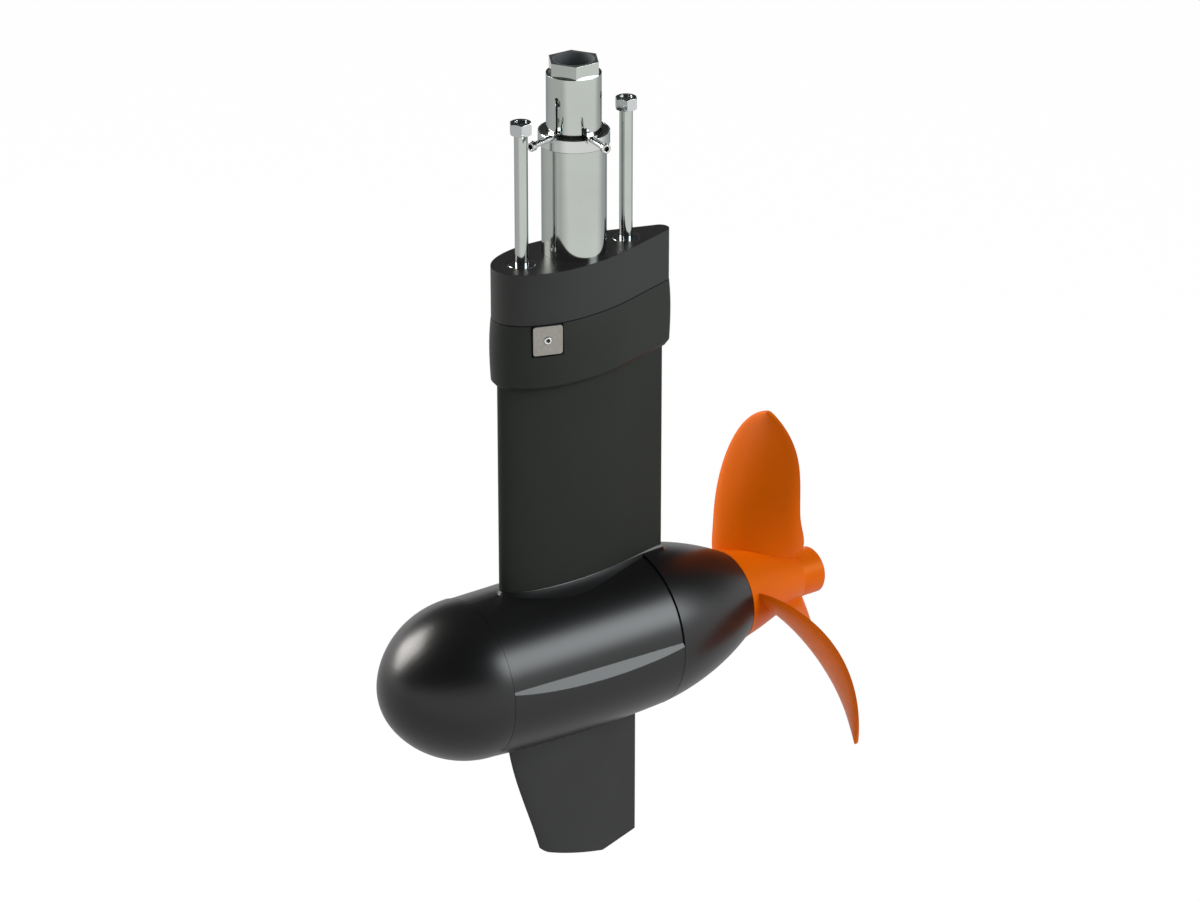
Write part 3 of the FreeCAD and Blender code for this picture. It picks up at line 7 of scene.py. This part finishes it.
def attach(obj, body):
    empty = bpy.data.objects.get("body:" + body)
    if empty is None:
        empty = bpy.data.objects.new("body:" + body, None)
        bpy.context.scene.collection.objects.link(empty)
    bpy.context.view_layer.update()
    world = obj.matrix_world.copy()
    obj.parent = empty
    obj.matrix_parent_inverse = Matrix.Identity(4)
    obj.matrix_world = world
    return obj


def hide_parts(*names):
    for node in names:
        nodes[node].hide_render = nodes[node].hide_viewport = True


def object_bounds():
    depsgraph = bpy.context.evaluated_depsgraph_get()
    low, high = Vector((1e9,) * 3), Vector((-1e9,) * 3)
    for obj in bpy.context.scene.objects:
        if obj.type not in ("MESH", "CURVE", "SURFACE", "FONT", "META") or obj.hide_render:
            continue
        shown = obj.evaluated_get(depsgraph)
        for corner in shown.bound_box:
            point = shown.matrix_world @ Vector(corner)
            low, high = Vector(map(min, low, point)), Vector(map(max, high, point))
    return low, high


# Electric outboard motor: a pod on a foil strut, in a white studio. Metres, +Z up, +X aft.

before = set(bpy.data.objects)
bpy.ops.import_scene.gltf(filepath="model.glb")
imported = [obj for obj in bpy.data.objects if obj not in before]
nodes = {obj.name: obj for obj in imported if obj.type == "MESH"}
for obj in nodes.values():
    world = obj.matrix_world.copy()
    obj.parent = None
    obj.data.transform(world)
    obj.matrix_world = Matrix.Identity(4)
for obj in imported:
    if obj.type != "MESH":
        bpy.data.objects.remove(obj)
cad_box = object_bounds()

# Camera, in the photograph's frame of 1200 by 900 pixels
PHOTO_WIDTH_PX = 1200
PHOTO_HEIGHT_PX = 900
FOCAL_LENGTH_PX = 4500
SENSOR_WIDTH_MM = 36
CAMERA_TURN = math.radians(35.717)
CAMERA_ELEVATION = math.radians(23.976)
CAMERA_DISTANCE = 3.968
ORIGIN_X_PX = 574.17
ORIGIN_Y_PX = 250.18
SIGHT_LIMIT = 50

# Places on the CAD parts that the materials and the added pieces follow
POD_AXIS_Z = -0.3874
BARREL_WIDEST_X = -0.0103
BARREL_RADIUS = 0.07842
BARREL_BOW = 0.3672             # the radius falls by this times the square of the way from the widest place
NOSE_SEAM_X = -0.1175
NOSE_SEAM_RADIUS = 0.0742
TAIL_SEAM_X = 0.0692
TAIL_SEAM_RADIUS = 0.0761
HEAD_FOOT_Z = -0.0487
GLAND_BORE_RADIUS = 0.018
ANODE_SPOT = (-0.0521, -0.03353, -0.0625)
ANODE_OUT = (-0.31836, -0.94797, 0)
CLAMP_SCREW_HEIGHT = 0.1146
CLAMP_SCREW_ANGLES = (-163, -98)


def make_camera():
    """Place the camera so that the model's origin falls on its pixel in the photograph."""
    right = Vector((math.cos(CAMERA_TURN), -math.sin(CAMERA_TURN), 0))
    level = Vector((math.sin(CAMERA_TURN), math.cos(CAMERA_TURN), 0))
    up = Vector((0, 0, 1))
    forward = level * math.cos(CAMERA_ELEVATION) - up * math.sin(CAMERA_ELEVATION)
    camera_up = level * math.sin(CAMERA_ELEVATION) + up * math.cos(CAMERA_ELEVATION)
    metres_per_px = CAMERA_DISTANCE / FOCAL_LENGTH_PX
    across = (ORIGIN_X_PX - PHOTO_WIDTH_PX / 2) * metres_per_px
    above = (PHOTO_HEIGHT_PX / 2 - ORIGIN_Y_PX) * metres_per_px
    place = -(right * across + camera_up * above + forward * CAMERA_DISTANCE)
    data = bpy.data.cameras.new("camera")
    data.sensor_fit = "HORIZONTAL"
    data.sensor_width = SENSOR_WIDTH_MM
    data.lens = SENSOR_WIDTH_MM * FOCAL_LENGTH_PX / PHOTO_WIDTH_PX
    data.clip_end = SIGHT_LIMIT
    camera = bpy.data.objects.new("camera", data)
    turn = Matrix((right, camera_up, -forward)).transposed()
    camera.matrix_world = Matrix.Translation(place) @ turn.to_4x4()
    bpy.context.scene.collection.objects.link(camera)
    bpy.context.scene.camera = camera


make_camera()


# Node trees

class Tree:
    """Short calls for a node tree."""

    def __init__(self, tree):
        self.tree = tree

    def add(self, kind, **settings):
        node = self.tree.nodes.new(kind)
        for key, setting in settings.items():
            setattr(node, key, setting)
        return node

    def link(self, source, target):
        self.tree.links.new(source, target)

    def ramp(self, source, low, high, low_value, high_value):
        """Map a number from one range to another, clamped."""
        node = self.add("ShaderNodeMapRange")
        for key, number in (("From Min", low), ("From Max", high), ("To Min", low_value),
                            ("To Max", high_value)):
            node.inputs[key].default_value = number
        self.link(source, node.inputs["Value"])
        return node.outputs["Result"]

    def beyond(self, source, edge, softness=0.0002):
        """0 up to an edge, and 1 past it."""
        return self.ramp(source, edge, edge + softness, 0.0, 1.0)

    def within(self, source, edge, softness=0.0002):
        """1 up to an edge, and 0 past it."""
        return self.ramp(source, edge, edge + softness, 1.0, 0.0)

    def compute(self, kind, operation, parts):
        """A Math or VectorMath node; each part is a socket, a number or a vector."""
        node = self.add(kind, operation=operation)
        for place, part in enumerate(parts):
            if isinstance(part, (int, float, tuple)):
                node.inputs[place].default_value = part
            else:
                self.link(part, node.inputs[place])
        return node

    def number(self, operation, *parts):
        return self.compute("ShaderNodeMath", operation, parts).outputs["Value"]

    def vector(self, operation, *parts):
        return self.compute("ShaderNodeVectorMath", operation, parts).outputs["Vector"]

    def measure(self, operation, *parts):
        """A number taken from vectors, such as a length."""
        return self.compute("ShaderNodeVectorMath", operation, parts).outputs["Value"]

    def axis(self, vector, name):
        """One of the three numbers of a vector."""
        apart = self.add("ShaderNodeSeparateXYZ")
        self.link(vector, apart.inputs["Vector"])
        return apart.outputs[name]

    def geometry(self, name):
        return self.add("ShaderNodeNewGeometry").outputs[name]

    def mirrored_rays(self, path):
        """1 for rays that metal or glass sends on, and 0 for the others."""
        return self.number("MAXIMUM", path.outputs["Is Glossy Ray"], path.outputs["Is Transmission Ray"])


class Material(Tree):
    """A new material, built up round its shader."""

    def __init__(self, name):
        self.material = bpy.data.materials.new(name)
        self.material.use_nodes = True
        super().__init__(self.material.node_tree)
        self.shader = self.tree.nodes["Principled BSDF"]

    def noise(self, scale, detail=3.0, roughness=0.55, stretch=(1, 1, 1)):
        mapping = self.add("ShaderNodeMapping")
        mapping.inputs["Scale"].default_value = stretch
        self.link(self.add("ShaderNodeTexCoord").outputs["Object"], mapping.inputs["Vector"])
        noise = self.add("ShaderNodeTexNoise")
        noise.inputs["Scale"].default_value = scale
        noise.inputs["Detail"].default_value = detail
        noise.inputs["Roughness"].default_value = roughness
        self.link(mapping.outputs["Vector"], noise.inputs["Vector"])
        return noise.outputs["Fac"]

    def drift(self, noise, low_value, high_value):
        """A number that wanders with a noise between two values."""
        return self.ramp(noise, *NOISE_SPAN, low_value, high_value)

    def worn_colours(self, base, shift=0.06, scale=9.0):
        """A base colour that drifts slightly lighter and darker over the surface."""
        ramp = self.add("ShaderNodeValToRGB")
        for element, place, share in zip(ramp.color_ramp.elements, NOISE_SPAN, (1 - shift, 1 + shift)):
            element.position = place
            element.color = (*(part * share for part in base), 1)
        self.link(self.noise(scale, 4), ramp.inputs["Fac"])
        return ramp.outputs["Color"]

    def mix(self, factor, first, second):
        """Mix two colours, each a socket or a plain colour."""
        node = self.add("ShaderNodeMix", data_type="RGBA")
        self.link(factor, node.inputs["Factor"])
        for key, colour in (("A", first), ("B", second)):
            socket = [item for item in node.inputs if item.name == key and item.type == "RGBA"][0]
            if isinstance(colour, tuple):
                socket.default_value = (*colour, 1)
            else:
                self.link(colour, socket)
        return [item for item in node.outputs if item.type == "RGBA"][0]

    def soft_edges(self, radius):
        """Normals that round each sharp edge off by a small radius."""
        node = self.add("ShaderNodeBevel", samples=6)
        node.inputs["Radius"].default_value = radius
        return node.outputs["Normal"]

    def bump(self, source, strength, distance, below):
        node = self.add("ShaderNodeBump")
        node.inputs["Strength"].default_value = strength
        node.inputs["Distance"].default_value = distance
        self.link(source, node.inputs["Height"])
        self.link(below, node.inputs["Normal"])
        return node.outputs["Normal"]

    def orange_peel(self):
        """The fine relief of a painted surface, over softened edges."""
        peel = self.bump(self.noise(260, 2), 0.02, 0.0003, below=self.soft_edges(PAINTED_EDGE))
        return self.bump(self.noise(2200, 2), 0.04, 0.0001, below=peel)

    def finish(self, colour, roughness, normal, **constants):
        """Link what varies over the surface, and set what doesn't."""
        self.link(colour, self.shader.inputs["Base Color"])
        self.link(roughness, self.shader.inputs["Roughness"])
        self.link(normal, self.shader.inputs["Normal"])
        for key, number in constants.items():
            self.shader.inputs[key.replace("_", " ")].default_value = number
        return self.material


# Materials. The radii are those to which the edges of each kind of surface look rounded.

NOISE_SPAN = (0.3, 0.7)
PAINTED_EDGE = 0.0008
MOULDED_EDGE = 0.0006
METAL_EDGE = 0.0003
STEEL = (0.50, 0.53, 0.50)
STEEL_AT_GRAZING = (0.55, 0.58, 0.62, 1)
STRUT_GREEN_BLACK = (0.013, 0.0155, 0.0125)
POD_BLACK = (0.005, 0.005, 0.0055)
# Painted shade for the gap round the anode plate
GAP_SHADE_BLACK = (0.0015, 0.0015, 0.0015)
DRAWN_ALONG_Z = (40, 40, 1)
UNDRAWN = (2, 2, 2)


def moulded(name, base, roughness, grain_scale=900, grain=0.12, shift=0.08, **constants):
    """Moulded plastic: an even colour with a fine grain and softened edges."""
    made = Material(name)
    rough = made.drift(made.noise(14, 3), roughness - 0.04, roughness + 0.04)
    surface = made.bump(made.noise(grain_scale, 2), grain, 0.0002, below=made.soft_edges(MOULDED_EDGE))
    return made.finish(made.worn_colours(base, shift), rough, surface, **constants)


def painted(name, base, roughness, **constants):
    """Satin paint: fine orange peel, slight drift in gloss and colour."""
    made = Material(name)
    rough = made.drift(made.noise(7, 4), roughness - 0.03, roughness + 0.03)
    return made.finish(made.worn_colours(base), rough, made.orange_peel(), **constants)


def metal(name, base, roughness, stretch=(1, 1, 40), scratch=0.02):
    """Metal with fine drawn lines along its length and small stains."""
    made = Material(name)
    lines = made.noise(60, 3, 0.6, stretch)
    rough = made.drift(lines, roughness * 0.8, roughness * 1.3)
    surface = made.bump(lines, scratch, 0.0002, below=made.soft_edges(METAL_EDGE))
    return made.finish(made.worn_colours(base, 0.04, 20), rough, surface, Metallic=1.0,
                       Specular_Tint=STEEL_AT_GRAZING)


def head_material():
    """Matt moulded sides, a glossier top face painted darker as shade, and a dark seam above the band."""
    seam_top = HEAD_FOOT_Z + 0.0009
    made = Material("head_shell")
    seam = made.within(made.axis(made.geometry("Position"), "Z"), seam_top)
    top = made.beyond(made.axis(made.geometry("Normal"), "Z"), 0.8, softness=0.15)
    sides = made.worn_colours((0.034, 0.034, 0.034))
    # Painted shade: the top face's colour is near black, darker than the sides, because it faces up.
    colour = made.mix(seam, made.mix(top, sides, (0.004, 0.004, 0.004)), (0.002, 0.002, 0.002))
    grain = made.bump(made.noise(900, 2), 0.04, 0.0001, below=made.soft_edges(PAINTED_EDGE))
    return made.finish(colour, made.ramp(top, 0.0, 1.0, 0.62, 0.36), grain, Specular_IOR_Level=0.14)


def band_material():
    """Satin paint, with painted shade: black in the gap round the anode plate."""
    gap_reach = 0.015
    deepest = -0.01
    made = Material("band_shell")
    from_anode = made.vector("SUBTRACT", made.geometry("Position"), ANODE_SPOT)
    outwards = made.measure("DOT_PRODUCT", from_anode, ANODE_OUT)
    across = made.measure("DOT_PRODUCT", from_anode, (-ANODE_OUT[1], ANODE_OUT[0], 0))
    above = made.measure("DOT_PRODUCT", from_anode, (0, 0, 1))
    reach = made.number("MAXIMUM", made.number("ABSOLUTE", across), made.number("ABSOLUTE", above))
    gap_shade = made.number("MULTIPLY", made.within(reach, gap_reach), made.beyond(outwards, deepest, softness=0.001))
    # Painted shade: the gap round the anode plate is coloured black.
    colour = made.mix(gap_shade, made.worn_colours(STRUT_GREEN_BLACK), GAP_SHADE_BLACK)
    rough = made.ramp(gap_shade, 0.0, 1.0, 0.52, 0.9)
    return made.finish(colour, rough, made.orange_peel(), Specular_IOR_Level=0.22)


def pod_material(name):
    """Glossy pod paint; the saddle is satin like the leg, with a painted highlight: a light grey line where it
    meets the barrel.
    """
    saddle_start, rim_highlight_end = 0.0002, 0.0014
    made = Material(name)
    place = made.geometry("Position")
    centred = made.vector("SUBTRACT", place, (0, 0, POD_AXIS_Z))
    distance = made.measure("LENGTH", made.vector("MULTIPLY", centred, (0, 1, 1)))
    along = made.number("SUBTRACT", made.axis(place, "X"), BARREL_WIDEST_X)
    bow = made.number("MULTIPLY", made.number("POWER", along, 2.0), BARREL_BOW)
    above_barrel = made.number("SUBTRACT", made.number("ADD", distance, bow), BARREL_RADIUS)
    saddle = made.beyond(above_barrel, saddle_start, softness=0.0003)
    # Painted highlight: a light grey line along the saddle's lower edge, where it meets the barrel.
    rim_highlight = made.number("MULTIPLY", saddle, made.within(above_barrel, rim_highlight_end, softness=0.0006))
    shell = made.mix(saddle, made.worn_colours(POD_BLACK), (0.013, 0.015, 0.013))
    rough = made.ramp(saddle, 0.0, 1.0, 0.33, 0.45)
    return made.finish(made.mix(rim_highlight, shell, (0.2, 0.2, 0.2)), rough, made.orange_peel())


def gland_material():
    """Steel outside; painted shade in the bore, which is a dull dark grey and not metal."""
    bore_shade_edge = GLAND_BORE_RADIUS + 0.0003
    made = Material("gland_steel")
    from_axis = made.measure("LENGTH", made.vector("MULTIPLY", made.geometry("Position"), (1, 1, 0)))
    outside = made.beyond(from_axis, bore_shade_edge)
    # Painted shade: the bore is a dull dark grey in place of steel.
    colour = made.mix(outside, (0.09, 0.1, 0.105), made.worn_colours(STEEL, 0.04, 20))
    surface = made.bump(made.noise(60, 3), 0.004, 0.0002, below=made.soft_edges(METAL_EDGE))
    made.link(outside, made.shader.inputs["Metallic"])
    return made.finish(colour, made.ramp(outside, 0.0, 1.0, 0.5, 0.12), surface)


materials = {
    "strut_head": head_material(),
    "strut_band": band_material(),
    "strut_leg": painted("leg_shell", STRUT_GREEN_BLACK, 0.52, Specular_IOR_Level=0.18),
    "pod_housing": pod_material("pod_shell"),
    "nose_cone": painted("nose_shell", POD_BLACK, 0.33),
    "tail_housing": pod_material("tail_shell"),
    "skeg_fin": moulded("fin_plastic", (0.027, 0.027, 0.028), 0.6, Specular_IOR_Level=0.3),
    "propeller": moulded("propeller_plastic", (0.62, 0.104, 0.0), 0.42, grain_scale=500, grain=0.04,
                         shift=0.05, Specular_IOR_Level=0.35, Specular_Tint=(1.0, 0.45, 0.1, 1)),
    "outer_tube": metal("tube_steel", STEEL, 0.09, DRAWN_ALONG_Z),
    "inner_tube": metal("mast_steel", STEEL, 0.09, DRAWN_ALONG_Z),
    "gland_nut": gland_material(),
    "clamp_collar": metal("collar_steel", (0.60, 0.62, 0.60), 0.1, UNDRAWN, 0.006),
    "clamp_screws": metal("screw_steel", (0.62, 0.63, 0.62), 0.12, UNDRAWN, 0.006),
    "mounting_studs": metal("stud_steel", STEEL, 0.09, DRAWN_ALONG_Z),
    "stud_nuts": metal("nut_steel", (0.58, 0.60, 0.60), 0.1, UNDRAWN, 0.006),
    "stud_washers": metal("washer_chrome", (0.42, 0.43, 0.44), 0.16, UNDRAWN, 0.004),
    "anode_plate": metal("anode_metal", (0.35, 0.33, 0.30), 0.5, (6, 6, 6), 0.08),
    "anode_screw": metal("anode_screw_steel", (0.7, 0.71, 0.71), 0.15, UNDRAWN, 0.006),
    "tube_bush": moulded("bush_plastic", (0.008, 0.008, 0.008), 0.5, Specular_IOR_Level=0.2),
}
inner_materials = {
    moulded("seal_rubber", (0.010, 0.010, 0.010), 0.7): (
        "leg_gasket", "nose_seal_ring", "tail_seal_ring", "shaft_seal"),
    metal("bearing_steel", (0.6, 0.6, 0.61), 0.16): (
        "leg_tie_rods", "shield_screws", "motor_shaft", "drive_pin", "thrust_washer", "propeller_nut",
        "front_bearing_inner", "front_bearing_outer", "front_bearing_balls",
        "rear_bearing_inner", "rear_bearing_outer", "rear_bearing_balls"),
    metal("lamination_steel", (0.22, 0.22, 0.23), 0.45, (600, 1, 1), 0.3): ("stator_core", "rotor_core"),
    metal("copper_wire", (0.60, 0.26, 0.12), 0.3, (1, 30, 30), 0.3): ("stator_windings",),
    metal("magnet_nickel", (0.34, 0.35, 0.36), 0.3): ("rotor_magnets",),
    metal("cage_brass", (0.62, 0.46, 0.18), 0.25): ("front_bearing_cage", "rear_bearing_cage"),
    metal("cast_alloy", (0.52, 0.53, 0.54), 0.5, (5, 5, 5), 0.2): ("front_end_shield", "board_standoffs"),
    moulded("circuit_lacquer", (0.02, 0.14, 0.05), 0.35): ("control_board",),
}
for material, wearers in inner_materials.items():
    for node in wearers:
        materials[node] = material

for node, item in nodes.items():
    if not item.material_slots:
        item.data.materials.append(None)
    for slot in item.material_slots:
        slot.link = "OBJECT"
        slot.material = materials[node]


# Thin joint lines round the pod

JOINT_STEPS = 192
JOINT_DEPTH = 0.0003
JOINT_LIP = 0.00004
JOINT_CROWN = 0.00008
NOSE_LINE_WIDTH = 0.00035
TAIL_LINE_WIDTH = 0.0004


def make_joint_line(name, x, width, radius, material):
    """A narrow, slightly raised ring of jointing rubber where two of the pod's shells meet."""
    section = ((0.0, -JOINT_DEPTH), (0.0, JOINT_LIP), (width * 0.5, JOINT_CROWN), (width, 0.0),
               (width, -JOINT_DEPTH))
    points, faces = [], []
    for step in range(JOINT_STEPS):
        turn = 2 * math.pi * step / JOINT_STEPS
        for along, out in section:
            reach = radius + out
            points.append((x + along, reach * math.cos(turn), POD_AXIS_Z + reach * math.sin(turn)))
    count = len(section)
    for step in range(JOINT_STEPS):
        here, after = step * count, (step + 1) % JOINT_STEPS * count
        for place in range(count):
            beside = (place + 1) % count
            faces.append((here + place, here + beside, after + beside, after + place))
    mesh = bpy.data.meshes.new(name)
    mesh.from_pydata(points, [], faces)
    mesh.update()
    mesh.materials.append(material)
    ring = bpy.data.objects.new(name, mesh)
    bpy.context.scene.collection.objects.link(ring)
    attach(ring, "housing")


joint_rubber = moulded("joint_rubber", (0.004, 0.004, 0.004), 0.85, Specular_IOR_Level=0.1)
make_joint_line("nose_joint_line", NOSE_SEAM_X - NOSE_LINE_WIDTH, NOSE_LINE_WIDTH, NOSE_SEAM_RADIUS,
                joint_rubber)
make_joint_line("tail_joint_line", TAIL_SEAM_X, TAIL_LINE_WIDTH, TAIL_SEAM_RADIUS, joint_rubber)


# Socket head screws. Their meshes carry two materials: steel, and a dark steel in the socket, which is painted
# shade.

SIDES = 36
STEEL_LOOK, SOCKET_SHADE_LOOK = 0, 1
SHARP_EDGE = math.radians(40)
CLAMP_SCREW = {"tip": 0.0248, "top": 0.0614, "shank": 0.0028, "head": 0.0044, "head_length": 0.0044,
               "pitch": 0.0011}
ANODE_SCREW = {"tip": -0.0042, "top": 0.0007, "shank": 0.0019, "head": 0.0036, "head_length": 0.0021,
               "pitch": 0.0006}


def round_ring(radius, height):
    turns = [2 * math.pi * number / SIDES for number in range(SIDES)]
    return [(radius * math.cos(turn), radius * math.sin(turn), height) for turn in turns]


def hexagon_ring(radius, height):
    """Points round a hexagon with the given flat radius, as many as round a circle."""
    ring = []
    for number in range(SIDES):
        turn = 2 * math.pi * number / SIDES
        from_flat = (turn + math.pi / 6) % (math.pi / 3) - math.pi / 6
        reach = radius / math.cos(from_flat)
        ring.append((reach * math.cos(turn), reach * math.sin(turn), height))
    return ring


def add_screw(points, faces, looks, place, tip, top, shank, head, head_length, pitch):
    """A socket head screw along the place's local Z, with rounded thread crests and a hexagon socket."""
    bevel = head * 0.12
    base = top - head_length
    lead = tip + shank * 0.2
    rings = [round_ring(shank * 0.8, tip), round_ring(shank, lead)]
    height = lead + pitch
    while height < base - pitch:
        rings.append(round_ring(shank, height - pitch * 0.6))
        rings.append(round_ring(shank * 0.87, height - pitch * 0.3))
        rings.append(round_ring(shank, height))
        height += pitch
    rings += [round_ring(shank, base), round_ring(head, base), round_ring(head, top - bevel),
              round_ring(head - bevel, top), hexagon_ring(head * 0.52, top),
              hexagon_ring(head * 0.5, top - head_length * 0.08),
              hexagon_ring(head * 0.48, top - head_length * 0.55)]
    start = len(points)
    for ring in rings:
        points.extend(tuple(place @ Vector(spot)) for spot in ring)
    last = len(rings) - 1
    for level in range(last):
        for number in range(SIDES):
            beside = (number + 1) % SIDES
            low, high = start + level * SIDES, start + (level + 1) * SIDES
            faces.append((low + number, low + beside, high + beside, high + number))
            looks.append(SOCKET_SHADE_LOOK if level >= last - 1 else STEEL_LOOK)
    faces.append(tuple(start + number for number in reversed(range(SIDES))))
    looks.append(STEEL_LOOK)
    faces.append(tuple(start + last * SIDES + number for number in range(SIDES)))
    looks.append(SOCKET_SHADE_LOOK)


def make_screws(name, places, size, steel):
    """One piece with a screw at each place, which rides on the housing."""
    points, faces, looks = [], [], []
    for place in places:
        add_screw(points, faces, looks, place, **size)
    mesh = bpy.data.meshes.new(name)
    mesh.from_pydata(points, [], faces)
    mesh.update()
    mesh.materials.append(steel)
    mesh.materials.append(socket_shade)
    for face, look in zip(mesh.polygons, looks):
        face.material_index = look
    mesh.shade_smooth()
    mesh.set_sharp_from_angle(angle=SHARP_EDGE)
    piece = bpy.data.objects.new(name, mesh)
    bpy.context.scene.collection.objects.link(piece)
    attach(piece, "housing")
    return piece


def facing(spot, outwards):
    """The place of a piece whose local Z looks outwards from a spot."""
    turn = Vector(outwards).to_track_quat("Z", "Y").to_matrix().to_4x4()
    return Matrix.Translation(spot) @ turn


# Painted shade: the walls and floors of the sockets are a dark steel.
socket_shade = metal("screw_socket_painted_shade", (0.05, 0.05, 0.052), 0.4, UNDRAWN, 0.01)
clamp_turns = [math.radians(angle) for angle in CLAMP_SCREW_ANGLES]
clamp_places = [facing((0, 0, CLAMP_SCREW_HEIGHT), (math.cos(turn), math.sin(turn), 0)) for turn in clamp_turns]
screws = make_screws("clamp_screw_pair", clamp_places, CLAMP_SCREW, materials["clamp_screws"])
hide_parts("clamp_screws")
anode_screw = make_screws("anode_socket_screw", [facing(ANODE_SPOT, ANODE_OUT)], ANODE_SCREW,
                          materials["anode_screw"])
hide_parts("anode_screw")


# Studio. The heights and ways from left to right are those of a ray's direction, of length 1.

WHITE = (1, 1, 1, 1)
MIRRORED_CEILING = 0.03
MIRRORED_BACKDROP_TOP = (0.13, 0.33)
AMBIENT_FROM_LEFT, AMBIENT_FROM_RIGHT = 0.56, 0.28
FLOOR_HALF_SIZE = 12.0
FLOOR_DROP = 0.25
FLOOR_PAINT = 0.9
FLOOR_WHITENESS = 0.985         # what is left of 1 shows the light and the object's shadow
MIRRORED_FLOOR_DIMS = (-1.4, -0.3)
MIRRORED_FLOOR_BEHIND = 0.66


def make_floor():
    """A pale floor below the fin: white in the view, dimmer at the back in reflections, with a faint shadow."""
    height = cad_box[0][2] - FLOOR_DROP
    mesh = bpy.data.meshes.new("floor")
    corners = [(across * FLOOR_HALF_SIZE, along * FLOOR_HALF_SIZE, height)
               for across, along in ((-1, -1), (1, -1), (1, 1), (-1, 1))]
    mesh.from_pydata(corners, [], [(0, 1, 2, 3)])
    floor = bpy.data.objects.new("floor", mesh)
    bpy.context.scene.collection.objects.link(floor)
    made = Material("floor_white")
    made.shader.inputs["Base Color"].default_value = (FLOOR_PAINT, FLOOR_PAINT, FLOOR_PAINT, 1)
    made.shader.inputs["Roughness"].default_value = 0.9
    path = made.add("ShaderNodeLightPath")
    seen = made.number("MULTIPLY", path.outputs["Is Camera Ray"], FLOOR_WHITENESS)
    mix = made.add("ShaderNodeMixShader")
    made.link(made.number("MAXIMUM", seen, made.mirrored_rays(path)), mix.inputs["Fac"])
    made.link(made.shader.outputs["BSDF"], mix.inputs[1])
    dims = made.ramp(made.axis(made.geometry("Position"), "Y"), *MIRRORED_FLOOR_DIMS, 1.0,
                     MIRRORED_FLOOR_BEHIND)
    glow = made.add("ShaderNodeEmission")
    made.link(made.number("MAXIMUM", path.outputs["Is Camera Ray"], dims), glow.inputs["Strength"])
    made.link(glow.outputs["Emission"], mix.inputs[2])
    made.link(mix.outputs["Shader"], made.tree.nodes["Material Output"].inputs["Surface"])
    mesh.materials.append(made.material)


def make_world():
    """White backdrop in the view; in reflections white low down and dim overhead; else light from the left."""
    world = bpy.data.worlds.new("studio")
    bpy.context.scene.world = world
    world.use_nodes = True
    made = Tree(world.node_tree)
    ground = made.tree.nodes["Background"]
    ground.inputs["Color"].default_value = WHITE
    path = made.add("ShaderNodeLightPath")
    direction = made.add("ShaderNodeTexCoord").outputs["Generated"]
    backdrop = made.ramp(made.axis(direction, "Z"), *MIRRORED_BACKDROP_TOP, 1.0, MIRRORED_CEILING)
    ambient = made.ramp(made.axis(direction, "X"), -1.0, 1.0, AMBIENT_FROM_LEFT, AMBIENT_FROM_RIGHT)
    mirrored = made.mirrored_rays(path)
    straight = made.number("SUBTRACT", 1.0, mirrored)
    strength = made.number("ADD", made.number("MULTIPLY", straight, ambient),
                           made.number("MULTIPLY", mirrored, backdrop))
    made.link(made.number("MAXIMUM", strength, path.outputs["Is Camera Ray"]), ground.inputs["Strength"])


def make_lamp(name, place, target, width, height, power, colour):
    """A soft box at a place, turned towards a target."""
    data = bpy.data.lights.new(name, "AREA")
    data.shape = "RECTANGLE"
    data.size = width
    data.size_y = height
    data.energy = power
    data.color = colour
    lamp = bpy.data.objects.new(name, data)
    lamp.location = place
    lamp.rotation_euler = (Vector(target) - Vector(place)).to_track_quat("-Z", "Y").to_euler()
    bpy.context.scene.collection.objects.link(lamp)


make_floor()
make_world()
make_lamp("side_light", place=(1.55, -2.1, 0.95), target=(0, 0, -0.35), width=1.4, height=1.4, power=56,
          colour=(0.93, 0.98, 1.0))
make_lamp("rim_light", place=(-1.16, 1.67, 0.90), target=(-0.17, 0, -0.35), width=1.3, height=1.3, power=72,
          colour=(1.0, 0.97, 0.93))

scene = bpy.context.scene
scene.view_settings.view_transform = "Standard"
